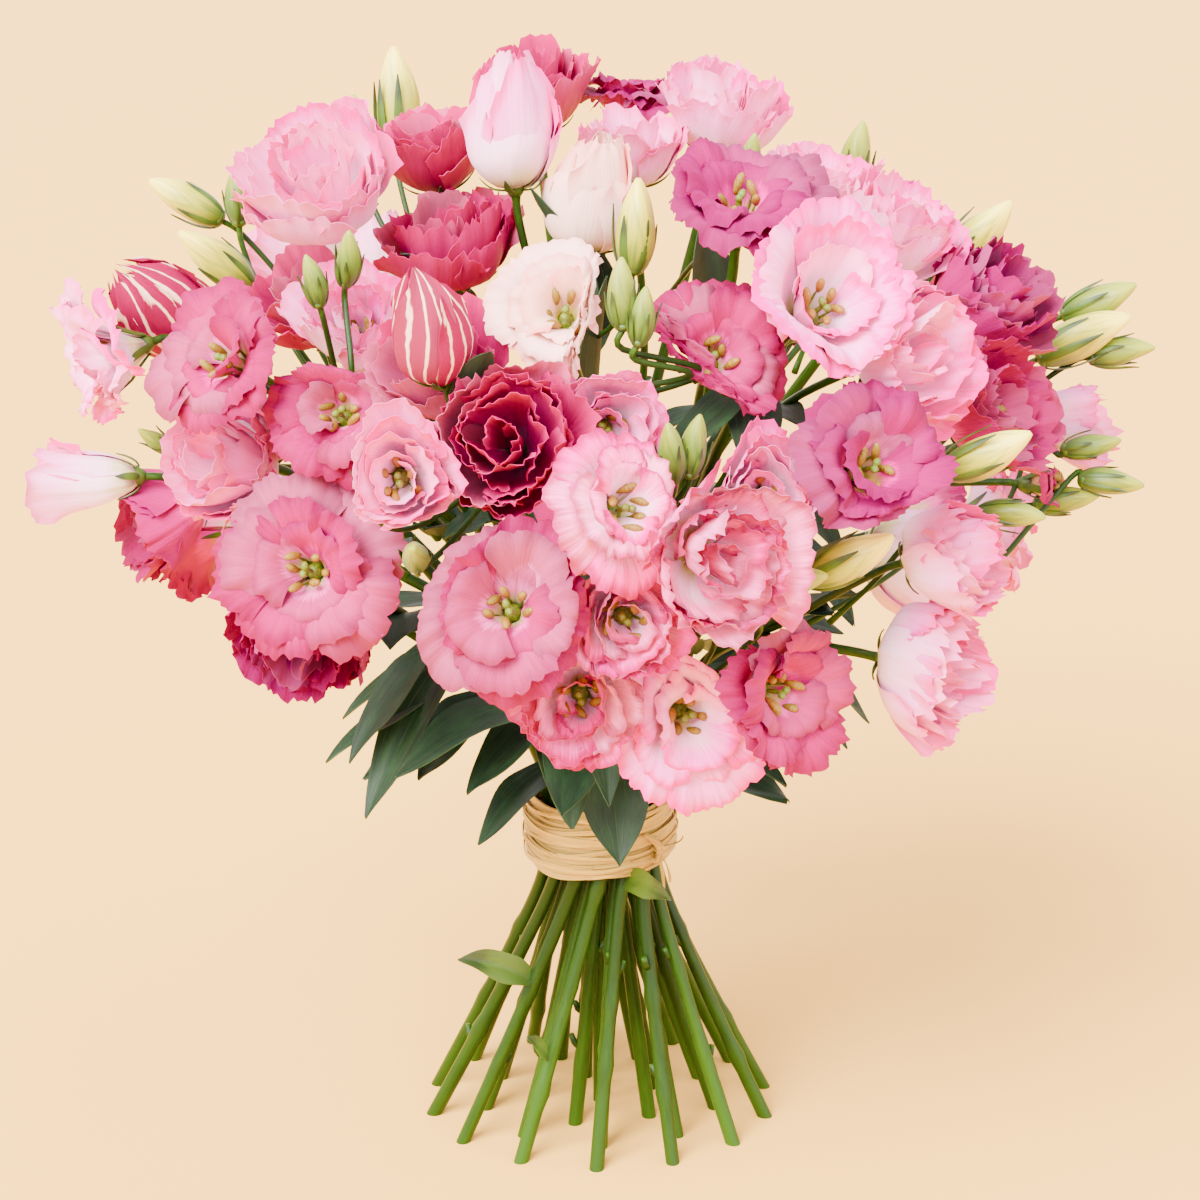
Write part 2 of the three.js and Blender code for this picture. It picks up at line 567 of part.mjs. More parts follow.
// Both faces of a layer, from the middle surface `rings`, the outer face first.
function bothFaces(rings) {
  const at = (k, i) => rings[k][(i + rings[k].length) % rings[k].length];
  const faces = [1, -1].map((sign) => rings.map((ring, k) => ring.map((point, i) => {
    const along = at(Math.min(k + 1, rings.length - 1), i).clone().sub(at(Math.max(k - 1, 0), i));
    const round = at(k, i + 1).clone().sub(at(k, i - 1));
    return point.clone().addScaledVector(round.cross(along).normalize(), (sign * PETAL) / 2);
  })));
  return faces;
}

function bloomSolid(bloom) {
  bloom.base = baseOf(bloom);
  const kind = KINDS[bloom.kind];
  const outer = [0, 0.5, 1].map((t) => petalRing(bloom, kind.outer, t, 36 * DEG));
  for (const point of outer.flat()) pressed(bloom, point);
  const heart = pressed(bloom, bloom.base.clone().addScaledVector(bloom.axis, kind.heart * bloom.width));
  const [outside, inside] = bothFaces(outer);
  if (bloom.single) return loft([...outside, inside[2], inside[1], [heart]], [3]);
  const [r, z] = kind.inner;
  const innerCurve = [[0.04, kind.heart], [r * 0.7, kind.heart + 0.02], [r, z * 0.75], [r, z]];
  const inner = [0.35, 1].map((t) => petalRing(bloom, innerCurve, t, 0));
  for (const point of inner.flat()) pressed(bloom, point);
  const [innerOutside, innerInside] = bothFaces(inner);
  return loft([...outside, inside[2], inside[1], innerOutside[1], innerInside[1], [heart]], [3]);
}

// ---------------------------------------------------------------- the raffia

const RAFFIA_TURNS = 4; // ridges that the wound strands show
const RAFFIA_THICKNESS = 3.4;

function raffia() {
  const outermost = RINGS[RINGS.length - 1];
  const [below, above] = [-NECK_LENGTH, NECK_LENGTH].map((rise) => waistPoint(outermost, 0, rise));
  const clear = (rise) => {
    const middle = mix(below, above, (rise + NECK_LENGTH) / (2 * NECK_LENGTH));
    return Math.hypot(middle.x, middle.y) + STEM_RADIUS + 1.2;
  };
  const half = WAIST_BAND / 2;
  const profile = [1, 0, -1].map((share) => new THREE.Vector2(clear(half * share), half * share));
  for (let k = 0; k <= 2 * RAFFIA_TURNS; k++) {
    const rise = -half + (WAIST_BAND * k) / (2 * RAFFIA_TURNS);
    const ridge = k % 2 ? RAFFIA_THICKNESS + 0.9 : RAFFIA_THICKNESS - 0.6;
    profile.push(new THREE.Vector2(clear(rise) + ridge, rise));
  }
  profile.push(profile[0]);
  const turned = new THREE.LatheGeometry(profile, 16).rotateX(Math.PI / 2);
  turned.deleteAttribute("normal");
  turned.deleteAttribute("uv");
  const ring = mergeVertices(turned, 1e-3);
  const place = ring.attributes.position;
  for (let i = 0; i < place.count; i++) {
    const angle = Math.atan2(place.getY(i), place.getX(i));
    place.setZ(i, WAIST_HEIGHT + place.getZ(i) + 1.6 * Math.sin(angle + 1) + 0.7 * Math.sin(3 * angle));
  }
  return solid(place.array, ring.index.array);
}

// ---------------------------------------------------------------- the bouquet

// Leaves grow at the neck and at the forks, wherever there is most room for them.
const NECK_LEAF = { length: 68, width: 25, rise: 0.24, lift: [0.1, 0.35, 0.6] };
const FORK_LEAF = { length: 46, width: 18, rise: BRANCH_AT, lift: [0.3, 0.6, 1] };

const LEAF_ROOM = 1.5; // the least that a leaf keeps from everything else
const LEAF_TURNS = 12; // the directions round its stem that are tried for it

// Where a leaf is tested, as shares of its length and width: its midrib and both edges.
const LEAF_SPOTS = [0.06, 0.13, 0.2, 0.28, 0.36, 0.44, 0.53, 0.62, 0.71, 0.8, 0.9, 1].flatMap((share) => {
  const half = share < 0.36 ? (0.5 * share) / 0.36 : (0.5 * (1 - share)) / 0.64;
  return [[share, -half], [share, 0], [share, half]];
});

const LEAF_STAND_OFF = 0.85; // leaves pass a bloom at this share of its reach

// How far a point keeps from the blooms and the lines near it.
function roomAt(point, near) {
  const way = vec(0, 0, 0);
  const free = [99];
  for (const bloom of near.blooms) {
    const far = way.subVectors(point, bloom.middle).length();
    free.push(far - LEAF_STAND_OFF * reach(bloom, way.normalize()));
  }
  for (const { points, radius } of near.lines) free.push(nearest(points, point).distanceTo(point) - radius);
  return Math.min(...free);
}

function bestLeaf(stem, number, kind) {
  const size = 1 + 0.16 * draw(number, 10);
  const [length, width] = [kind.length * size, kind.width * size];
  const [root, upward] = along(stem.line, kind.rise);
  const near = {
    blooms: blooms.filter((bloom) => bloom.middle.distanceTo(root) < length + bloom.width),
    lines: obstacles.filter((line) => line.stem !== stem.number
      && nearest(line.points, root).distanceTo(root) < 1.4 * length),
  };
  let best = { room: LEAF_ROOM };
  for (let turn = 0; turn < LEAF_TURNS; turn++) {
    const [out] = acrossAxis(upward, (2 * Math.PI * turn) / LEAF_TURNS);
    for (const slope of kind.lift) {
      const heading = out.clone().addScaledVector(upward, slope).normalize();
      const plan = { root, heading, length, width };
      const rooms = LEAF_SPOTS.map(([share, half]) => roomAt(leafPoint(plan, share, half), near));
      const room = Math.min(...rooms);
      if (room > best.room) best = { room, plan };
    }
  }
  if (!best.plan) return [];
  const midrib = [0.2, 0.6, 1].map((share) => leafPoint(best.plan, share, 0));
  obstacles.push({ points: midrib, radius: width * 0.45, stem: stem.number });
  return [leaf(best.plan)];
}

function node(name, made, colour, roughness) {
  const { numProp, vertProperties, triVerts } = made.getMesh();
  const positions = new Float32Array((vertProperties.length / numProp) * 3);
  for (let i = 0; i < positions.length / 3; i++)
    positions.set(vertProperties.subarray(i * numProp, i * numProp + 3), i * 3);
  const geometry = new THREE.BufferGeometry()
    .setAttribute("position", new THREE.BufferAttribute(positions, 3))
    .setIndex(new THREE.BufferAttribute(triVerts, 1));
  const finish = new THREE.MeshStandardMaterial({ color: colour, roughness, metalness: 0 });
  const mesh = new THREE.Mesh(geometry, finish);
  mesh.name = name;
  return mesh;
}

const bouquet = new THREE.Group();
bouquet.add(node("raffia_tie", raffia(), RAFFIA, 0.85));
stems.forEach((stem, s) => {
  const number = String(s + 1).padStart(2, "0");
  const green = [mainStem(stem), ...stem.branches.map(branch),
    ...stem.stalks.map((curve, i) => budOnStalk(curve, stem.buds[i]))];
  if (stem.ring === RINGS[3]) green.push(...bestLeaf(stem, s, NECK_LEAF));
  green.push(...bestLeaf(stem, s + 40, FORK_LEAF));
  bouquet.add(node(`stem_${number}`, fuse(green), GREEN, 0.6));
});
for (const bloom of blooms) bloom.limits = limitsOf(bloom, obstacles);
stems.forEach((stem, s) => {
  const number = String(s + 1).padStart(2, "0");
  bouquet.add(node(`blooms_${number}`, fuse(stem.blooms.map(bloomSolid)), COLOURS[stem.colour], 0.7));
});

// The origin is the middle of the space that the bouquet takes, on the table.
const { min, max } = new THREE.Box3().setFromObject(bouquet);
bouquet.position.set(-(min.x + max.x) / 2, -(min.y + max.y) / 2, -min.z);
bouquet.updateMatrixWorld(true);

export default bouquet;
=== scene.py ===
# %% [markdown]
# # A hand-tied lisianthus bouquet
# The bouquet stands on its own cut stems, which lie in a spiral and are bound with raffia at the
# waist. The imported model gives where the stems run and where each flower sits. This lesson turns
# its plain solids into petals, leaves, buds, stamens and strands.
# All lengths below are millimetres, because petals are easier to think of that way. Only the
# last step of making a mesh turns them into metres.

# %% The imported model
import math
import bpy
import numpy as np
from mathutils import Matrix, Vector


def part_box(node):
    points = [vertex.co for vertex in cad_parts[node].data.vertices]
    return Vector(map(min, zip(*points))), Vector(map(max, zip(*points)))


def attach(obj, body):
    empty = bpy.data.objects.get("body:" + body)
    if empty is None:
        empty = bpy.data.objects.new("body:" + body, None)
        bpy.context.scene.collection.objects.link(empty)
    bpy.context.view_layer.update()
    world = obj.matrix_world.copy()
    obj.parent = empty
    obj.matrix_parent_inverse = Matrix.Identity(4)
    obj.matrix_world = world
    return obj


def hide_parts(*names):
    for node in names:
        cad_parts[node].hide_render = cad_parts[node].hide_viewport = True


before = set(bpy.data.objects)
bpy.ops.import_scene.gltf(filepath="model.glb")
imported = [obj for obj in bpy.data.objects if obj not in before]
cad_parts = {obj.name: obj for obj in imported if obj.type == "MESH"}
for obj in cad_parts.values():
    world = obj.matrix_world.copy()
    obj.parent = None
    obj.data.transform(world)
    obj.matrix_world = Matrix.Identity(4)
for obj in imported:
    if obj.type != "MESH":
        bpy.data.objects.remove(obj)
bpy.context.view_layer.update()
MM = 0.001
tie_low, tie_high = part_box("raffia_tie")
AXIS = np.array([(tie_low.x + tie_high.x) / 2, (tie_low.y + tie_high.y) / 2, 0]) / MM
print("nodes", len(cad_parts), "bouquet's axis at", AXIS.round(1))

# %% [markdown]
# ## The viewer
# The photograph looks at the bouquet from 20 degrees above the horizon through a long lens. The
# camera comes first, because flowers are placed as the viewer sees them: across the view, up the
# view, and nearer or further away.

# %% Camera
LAYOUT = {"distance": 1133, "tilt": math.radians(20), "height": 227}
UP = np.array([0.0, 0.0, 1.0])
RIGHT = np.array([1.0, 0.0, 0.0])
VIEWER = np.array([0, -math.cos(LAYOUT["tilt"]), math.sin(LAYOUT["tilt"])])
ACROSS_VIEW_UP = np.array([0, math.sin(LAYOUT["tilt"]), math.cos(LAYOUT["tilt"])])
LOOK_AT = LAYOUT["height"] * UP
EYE = LOOK_AT + LAYOUT["distance"] * VIEWER

camera = bpy.data.objects.new("camera", bpy.data.cameras.new("camera"))
camera.data.lens, camera.data.sensor_width, camera.data.clip_end = 85, 36, 100
camera.location = Vector((EYE + AXIS) * MM)
camera.rotation_euler = Vector(-VIEWER).to_track_quat("-Z", "Y").to_euler()
bpy.context.scene.collection.objects.link(camera)
bpy.context.scene.camera = camera
print("camera at", [round(x, 3) for x in camera.location])

# %% [markdown]
# ## Studio
# A wide peach-cream floor runs to the horizon, so nothing stands behind the bouquet from any
# side. One broad sun from the upper left makes the soft modelling on the petals, a weaker one
# from the right fills, and the sky's even light keeps the shadows on the floor faint.

# %% Floor
FLOOR_RADIUS, FLOOR_SIDES = 9000, 64
FLOOR_COLOUR = (0.77, 0.395, 0.062, 1)


def feed(tree, socket, value):
    """Sets a socket to a number or a colour, or links another node's output to it."""
    if isinstance(value, bpy.types.NodeSocket):
        tree.links.new(value, socket)
    else:
        socket.default_value = value


def node_of(tree, kind, **settings):
    """A shader node with its settings, and its sockets where a name isn't a setting."""
    made = tree.nodes.new("ShaderNode" + kind)
    for name, value in settings.items():
        if hasattr(made, name):
            setattr(made, name, value)
        else:
            feed(tree, made.inputs[name.replace("_", " ")], value)
    return made


def new_material(name, roughness, **sockets):
    """A material with one Principled shader, and the shader."""
    material = bpy.data.materials.new(name)
    material.use_nodes = True
    shader = material.node_tree.nodes["Principled BSDF"]
    for socket, value in {"Roughness": roughness, **sockets}.items():
        shader.inputs[socket.replace("_", " ")].default_value = value
    return material, shader


def make_floor():
    """A wide round sheet of paper, with faint patches so that it doesn't look painted."""
    turns = np.linspace(0, 2 * math.pi, FLOOR_SIDES, endpoint=False)
    rim = [(FLOOR_RADIUS * MM * math.cos(a), FLOOR_RADIUS * MM * math.sin(a), 0) for a in turns]
    mesh = bpy.data.meshes.new("floor")
    mesh.from_pydata(rim, [], [tuple(range(len(rim)))])
    material, shader = new_material("floor_paper", 0.9)
    tree = material.node_tree
    darker = tuple(c * 0.97 for c in FLOOR_COLOUR[:3]) + (1,)
    patches = node_of(tree, "TexNoise", Scale=1.5, Detail=2.0).outputs["Fac"]
    blend = node_of(tree, "Mix", data_type="RGBA", Factor=patches, A=FLOOR_COLOUR, B=darker)
    feed(tree, shader.inputs["Base Color"], blend.outputs["Result"])
    mesh.materials.append(material)
    floor = bpy.data.objects.new("floor", mesh)
    bpy.context.scene.collection.objects.link(floor)


make_floor()
print("floor", 2 * FLOOR_RADIUS * MM, "m across")

# %% Light
def make_sun(name, strength, spread, towards, colour):
    """A broad lamp as far off as the sun, spread over some degrees."""
    lamp = bpy.data.lights.new(name, "SUN")
    lamp.energy, lamp.angle, lamp.color = strength, math.radians(spread), colour
    sun = bpy.data.objects.new(name, lamp)
    sun.rotation_euler = Vector(towards).to_track_quat("-Z", "Y").to_euler()
    bpy.context.scene.collection.objects.link(sun)


def make_sky(colour, strength):
    world = bpy.data.worlds.new("sky")
    world.use_nodes = True
    light = world.node_tree.nodes["Background"].inputs
    light["Color"].default_value, light["Strength"].default_value = colour, strength
    bpy.context.scene.world = world


make_sun("key", 18.0, 44, (0.55, 0.75, -0.9), (1.0, 0.99, 0.97))
make_sun("fill", 2.8, 70, (-0.7, 0.6, -0.45), (1.0, 0.98, 0.97))
make_sky((1.0, 0.98, 0.96, 1), 2.95)

# %% [markdown]
# ## What each stem carries
# The same rows, in the same words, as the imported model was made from. A flower is its kind,
# where the viewer sees it, which way it turns and lifts its face, and its width. Here each one
# also gets its own finish, because flowers of one stem age from strong to pale.

# %% Flowering stems
# A bloom is (kind, across, up, back, turn, lift, width, finish).
# A bud is (across, up, back, turn, lift, length).
FRONT_STEMS = [
    ([("open", -118, 12, 0, -12, 2, 78, "pink"), ("rose", -122, -28, 22, -15, -42, 58, "hot")], []),
    ([("open", -106, 76, -4, -8, 10, 62, "pink"), ("open", -146, 94, 4, -35, 15, 64, "pink")],
     [(-115, 128, -14, -25, 60, 19), (-101, 137, -14, 10, 55, 21)]),
    ([("open", -36, -4, -6, -6, 8, 78, "pink"), ("cup", 10, -8, 14, 5, -10, 48, "edged")], []),
    ([("cup", -8, -40, 0, 0, -12, 50, "edged"), ("open", 34, -46, -6, 18, -12, 74, "blush")], []),
    ([("open", 68, -36, 4, 45, -5, 68, "pink")], [(78, 6, 0, 60, 15, 25), (100, 17, 6, 62, 25, 35)]),
    ([("rose", 130, -26, 0, 62, -8, 62, "blush"), ("rose", 142, 19, 0, 62, 10, 58, "blush")],
     [(187, 40, 10, 80, 8, 24), (165, 34, -8, 70, -5, 24)]),
    ([("open", 106, 52, -4, 30, 10, 72, "hot"), ("cup", 64, 42, 4, -5, 0, 52, "blush")],
     [(155, 59, -12, 65, 22, 34)]),
    ([("open", 8, 36, -6, 34, 6, 62, "edged"), ("rose", 47, 16, 0, 22, -6, 60, "edged")],
     [(28, 59, 6, -10, 60, 22), (38, 62, 8, 20, 65, 22)]),
    ([("rose", -38, 64, -2, -10, 4, 66, "deep"), ("cup", -62, 90, 26, -10, 20, 52, "deep")],
     [(-92, 47, -4, -20, 55, 21), (-74, 17, -4, 0, 15, 22)]),
    ([("rose", -150, 54, -2, -32, 6, 58, "blush"), ("open", -190, 98, 6, -66, -22, 70, "blush")],
     [(-178, 64, 0, -60, 30, 15)]),
    ([("cup", -178, 36, 10, -62, -22, 58, "pink"), ("tube", -206, 48, 0, -88, -2, 34, "blush")], []),
    ([("furled", -170, 114, 0, -50, 30, 38, "striped"), ("cup", -120, 122, 10, -20, 42, 52, "deep")],
     [(-166, 160, 8, -75, 28, 31), (-145, 162, 0, -8, 75, 22), (-154, 136, -8, -62, 34, 35)]),
    ([("rose", -108, 162, 0, -16, 34, 64, "blush"), ("cup", -100, 110, 24, -10, 22, 52, "blush")], []),
    ([("rose", -62, 150, 0, -10, 52, 56, "deep"), ("cup", -66, 176, 30, -20, 60, 54, "deep")],
     [(-82, 201, 24, -5, 80, 40), (-97, 188, 20, -18, 72, 28)]),
    ([("tulip", -4, 168, 0, 0, 68, 38, "cream"), ("tulip", -34, 184, 10, -8, 72, 38, "blush")],
     [(14, 150, 4, 14, 75, 33)]),
    ([("open", -14, 114, 0, 0, 12, 58, "cream"), ("cup", 2, 70, 6, 5, -5, 52, "blush")],
     [(9, 123, -8, -5, 75, 24), (17, 114, -6, 20, 68, 20)]),
    ([("rose", -26, 203, 46, -10, 66, 54, "deep"), ("open", 12, 196, 52, 8, 72, 60, "hot")], []),
    ([("rose", 48, 192, 12, 16, 58, 54, "blush"), ("cup", 14, 182, 26, 4, 66, 48, "blush")],
     [(60, 177, 0, 20, 60, 19)]),
    ([("open", 55, 154, 0, 4, 44, 76, "hot"), ("open", 46, 98, -2, 4, 6, 68, "pink")], []),
    ([("rose", 117, 146, 12, 32, 48, 52, "blush"), ("cup", 90, 164, 22, 22, 58, 50, "blush")],
     [(103, 177, 8, 18, 66, 29)]),
    ([("bell", 90, 118, -4, 25, 18, 66, "blush"), ("rose", 122, 98, 2, 34, 8, 56, "blush")], []),
    ([("rose", 154, 118, 4, 44, 36, 60, "hot"), ("cup", 157, 78, 2, 55, 14, 60, "pink")],
     [(151, 147, 4, 58, 38, 36)]),
    ([("cup", 188, 72, 24, 80, 10, 50, "blush"), ("open", 180, 46, 28, 76, -4, 50, "pink")],
     [(194, 105, 8, 76, 24, 38), (200, 120, 14, 70, 22, 30), (209, 99, 16, 84, 8, 25),
      (197, 62, 4, 80, 10, 22), (205, 47, 8, 86, -6, 24)]),
    ([("furled", -67, 108, -4, -20, 52, 32, "striped"), ("cup", -78, 46, 28, 0, -8, 52, "blush")], []),
]

# Behind, a bloom is (kind, degrees round from the viewer, height over the floor, width, finish).
BACK_STEMS = [
    [("open", 112, 262, 72, "blush"), ("rose", 104, 218, 62, "blush"), ("cup", 132, 230, 60, "pink")],
    [("open", 150, 318, 72, "pink"), ("rose", 134, 342, 62, "hot"), ("cup", 150, 370, 60, "edged")],
    [("open", 180, 250, 76, "hot"), ("rose", 168, 208, 62, "deep"), ("cup", 194, 206, 60, "pink")],
    [("open", 210, 318, 72, "edged"), ("cup", 226, 342, 62, "blush"), ("rose", 208, 372, 60, "blush")],
    [("open", 246, 262, 72, "pink"), ("rose", 256, 218, 62, "pink"), ("cup", 228, 230, 60, "edged")],
]

# %% [markdown]
# ## Kinds of bloom
# Each kind is a half section from calyx to rim, as a Bezier curve of (radius, height) in shares
# of the bloom's width. A lisianthus opens from a furled bud over a cup to a wide bowl, so the
# seven sections below are one flower at seven ages.

# %% Kinds of bloom
KINDS = {
    "open": [(0.05, 0), (0.15, 0.2), (0.33, 0.32), (0.5, 0.34)],
    "bell": [(0.05, 0), (0.27, 0.08), (0.34, 0.4), (0.5, 0.58)],
    "cup": [(0.05, 0), (0.3, 0.04), (0.42, 0.28), (0.49, 0.55)],
    "rose": [(0.05, 0), (0.36, 0.02), (0.5, 0.28), (0.47, 0.56)],
    "tulip": [(0.06, 0), (0.6, 0.02), (0.62, 0.85), (0.26, 1.25)],
    "tube": [(0.1, 0), (0.42, 0.12), (0.3, 1.0), (0.5, 1.3)],
    "furled": [(0.08, 0), (0.62, 0.1), (0.6, 0.9), (0.1, 1.36)],
}
HEAD = {"height": 292, "across": 178, "deep": 165, "back": 132, "tall": 124}
FACED_BELOW = 40  # blooms behind face away from a spot this far under the head's middle
PLUMP = 0.21      # radius of a bud for its length
print("flowers at", len(KINDS), "ages:", ", ".join(KINDS))

# %% Draws, directions and sections
def draw(a, b):
    """A repeatable draw from -1 to 1 for two whole numbers."""
    s = math.sin(a * 12.9898 + b * 78.233) * 43758.5453
    return 2 * (s - math.floor(s)) - 1


def unit(v):
    """A vector made one long."""
    return v / np.linalg.norm(v)


def mean(lengths):
    """The mean of some lengths, rounded for print."""
    return round(float(np.mean(lengths)), 1)


def bezier(points, t):
    """Radius and height of a section at t, a number or an array."""
    k = [(1 - t) ** 3, 3 * t * (1 - t) ** 2, 3 * t * t * (1 - t), t ** 3]
    return [sum(k[i] * points[i][axis] for i in range(4)) for axis in (0, 1)]


def across_axis(axis, spin=0.0):
    """Two directions across axis, turned round it by spin."""
    u = unit(np.cross([0, 1, 0] if abs(axis[2]) > 0.95 else UP, axis))
    w = np.cross(axis, u)
    return u * math.cos(spin) + w * math.sin(spin), w * math.cos(spin) - u * math.sin(spin)


def spoke(u, w, angle):
    """The direction at an angle from u towards w."""
    return math.cos(angle) * u + math.sin(angle) * w


print("a bell's section halfway is at", [round(x, 2) for x in bezier(KINDS["bell"], 0.5)])

# %% Places in the view
def on_head(across, up, back):
    """The point of the head's surface that the viewer sees at (across, up)."""
    ray = unit(LOOK_AT + across * RIGHT + up * ACROSS_VIEW_UP - EYE)
    squash = np.array([1 / HEAD["across"], 1 / HEAD["deep"], 1 / HEAD["tall"]])
    start, along = (EYE - HEAD["height"] * UP) * squash, ray * squash
    a, b, c = along @ along, start @ along, start @ start - 1
    return EYE + ray * ((-b - math.sqrt(max(0, b * b - a * c))) / a + back)


def facing(turn, lift):
    """The direction of a face that turns right and lifts by some degrees, seen by the viewer."""
    turn, lift = math.radians(turn), math.radians(lift)
    level = math.cos(turn) * VIEWER + math.sin(turn) * RIGHT
    return math.cos(lift) * level + math.sin(lift) * ACROSS_VIEW_UP


print("the middle of the view meets the head at", on_head(0, 0, 0).round(1))

# %% Blooms and stems
class Bloom:
    """One open flower: its middle, the axis that it faces along, and its section."""

    def __init__(self, kind, middle, axis, sight, width, finish):
        outer = KINDS[kind]
        self.kind, self.width, self.finish, self.sight = kind, width, finish, sight
        self.middle, self.axis, self.home = middle, axis, middle.copy()
        self.depth = max(outer[3][1], outer[2][1]) * width
        section = [bezier(outer, t) for t in (0, 0.35, 0.7, 1)]
        self.section = np.array([[r * width, z * width - self.depth / 2] for r, z in section])

    def reach(self, away):
        """How far it reaches from its middle in the direction away, or in several."""
        lengthwise = np.asarray(away) @ self.axis
        sideways = np.sqrt(np.maximum(0, 1 - lengthwise ** 2))
        return np.max(np.multiply.outer(self.section[:, 0], sideways)
                      + np.multiply.outer(self.section[:, 1], lengthwise), axis=0)

    def base(self):
        return self.middle - self.axis * self.depth / 2


def front_bloom(kind, across, up, back, turn, lift, width, finish):
    return Bloom(kind, on_head(across, up, back), facing(turn, lift), VIEWER, width, finish)


def back_bloom(kind, round_axis, height, width, finish):
    rise = (height - HEAD["height"]) / HEAD["tall"]
    out = math.sqrt(1 - rise * rise)
    angle = math.radians(round_axis)
    across, deep = math.sin(angle) * out * HEAD["across"], math.cos(angle) * out * HEAD["back"]
    middle = np.array([across, -deep, height])
    axis = unit(middle - (HEAD["height"] - FACED_BELOW) * UP)
    return Bloom(kind, middle, axis, axis, width, finish)


class Stem:
    """One cut stem with its blooms and buds."""

    def __init__(self, number, blooms, buds):
        self.number, self.blooms, self.label = number, blooms, f"{number + 1:02d}"
        self.buds = [{"middle": on_head(*row[:3]), "axis": facing(row[3], row[4]), "length": row[5],
                      "radius": row[5] * PLUMP} for row in buds]
        for bloom in blooms:
            bloom.stem = number


stems = [Stem(i, [front_bloom(*row) for row in rows], buds)
         for i, (rows, buds) in enumerate(FRONT_STEMS)]
stems += [Stem(len(FRONT_STEMS) + i, [back_bloom(*row) for row in rows], [])
          for i, rows in enumerate(BACK_STEMS)]
blooms = [bloom for stem in stems for bloom in stem.blooms]
for i, bloom in enumerate(blooms):
    bloom.number, bloom.spin = i, math.pi * draw(i, 1)
print(len(stems), "stems,", len(blooms), "blooms,", sum(len(s.buds) for s in stems), "buds")

# %% [markdown]
# ## Crowding
# Blooms push each other apart as they open, mostly towards the viewer or away. Repeating a small
# push between each near pair settles the whole head, as it does in the hand that ties it.

# %% Blooms settle
FLATNESS, CROWDING, TOUCHING, PUSH, HOMING = 2.3, 0.86, 0.88, 0.2, 0.12
FAR = 110  # blooms whose middles are this far apart can't touch


def pressing(a, b):
    """The direction in which bloom a presses on bloom b."""
    apart = b.middle - a.middle
    shared = (a.axis + b.axis) / 2
    return unit(apart + FLATNESS * (apart @ shared) * shared)


def settle(rounds=80):
    for _ in range(rounds):
        for a in blooms:
            for b in blooms[a.number + 1:]:
                tied = a.stem == b.stem and a is stems[a.stem].blooms[0]
                gap = b.middle - a.middle
                if not tied and gap @ gap > FAR ** 2:
                    continue
                away = pressing(a, b)
                apart = gap @ away
                share = TOUCHING if a.stem == b.stem else CROWDING
                want = share * (a.reach(away) + b.reach(-away))
                if apart >= want and not tied:
                    continue
                a.middle = a.middle - PUSH * (want - apart) * away
                b.middle = b.middle + PUSH * (want - apart) * away
            strayed = a.middle - a.home
            strayed = strayed - (strayed @ a.sight) * a.sight
            a.middle = a.middle - HOMING * strayed


settle()
print("blooms moved by", mean([np.linalg.norm(b.middle - b.home) for b in blooms]), "mm")

# %% [markdown]
# ## Leaning
# The blooms of one stem lean on each other until their petals meet. How far is read from the
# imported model: each stem there ends in a small flat cap, right under its bloom, and the lean
# that puts the bloom's foot at the middle of that cap is the right one.

# %% Blooms of a stem lean together
GAP, PETAL, CALYX_RADIUS = 0.35, 1.0, 4.2  # under a petal, through it, and round a calyx cap
LEAN, LEAN_STEPS = 0.8, 41                 # how far a bloom leans at each step, and how often


def corners_of(node):
    """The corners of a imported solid, in the layout's millimetres."""
    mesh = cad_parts[node].data
    corners = np.empty(len(mesh.vertices) * 3, np.float32)
    mesh.vertices.foreach_get("co", corners)
    return corners.reshape(-1, 3).astype(float) / MM - AXIS


def seat(bloom):
    return bloom.base() - (GAP + PETAL / 2) * bloom.axis


def cap_misfit(corners, bloom):
    """How badly the corners nearest to the bloom's seat fit a cap's rim."""
    off = np.abs(np.linalg.norm(corners - seat(bloom), axis=1) - CALYX_RADIUS)
    return np.sort(off)[:4].sum()


misfits = []
for stem in stems:
    corners = corners_of("stem_" + stem.label)
    first = stem.blooms[0]
    for i, mate in enumerate(stem.blooms[1:]):
        away = unit(mate.middle - first.middle)
        a, b = first.middle, mate.middle
        found = []
        for step in range(LEAN_STEPS):
            first.middle = a + (0 if i else LEAN * step) * away
            mate.middle = b - (2 if i else 1) * LEAN * step * away
            found.append((cap_misfit(corners, mate), step, first.middle, mate.middle))
        misfit, step, first.middle, mate.middle = min(found, key=lambda row: row[:2])
        misfits.append(misfit)
print("worst misfit of a cap", round(max(misfits), 2), "mm")

# %% [markdown]
# ## Where the stems run
# A florist adds every stem at the same slant, so below the tie they lie in a spiral and splay
# into a foot that stands by itself. Above the tie each bends to its first bloom; the second
# bloom and the buds sit on side branches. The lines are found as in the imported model, so that
# the stems drawn here lie inside its stems.

# %% Rings at the waist
WAIST_HEIGHT, WAIST_BAND, NECK_LENGTH = 132, 30, 22
RINGS = [
    {"stems": 1, "radius": 0, "lean": 0},
    {"stems": 5, "radius": 6.6, "lean": 0.2},
    {"stems": 9, "radius": 13.4, "lean": 0.36},
    {"stems": 14, "radius": 20.4, "lean": 0.52},
]
SPIRAL, FOOT_DEPTH = 0.55, 0.76
BRANCH_AT, BUDS_AT = 0.44, 0.65        # shares of a stem where branches and stalks of buds start
FORK = 0.8                             # how much of its turn a branch makes where it starts
CLEAR, STAND_OFF = 1.6, 0.74           # room between two lines, and share of a bloom's reach kept
STEM_LINE, BRANCH_LINE, STALK_LINE = 2.5, 1.8, 1.4  # radii
SHARES = (0, 0.3, 0.6, 0.9, 1)         # where a curve's five points lie
BEND_ROUNDS = 40


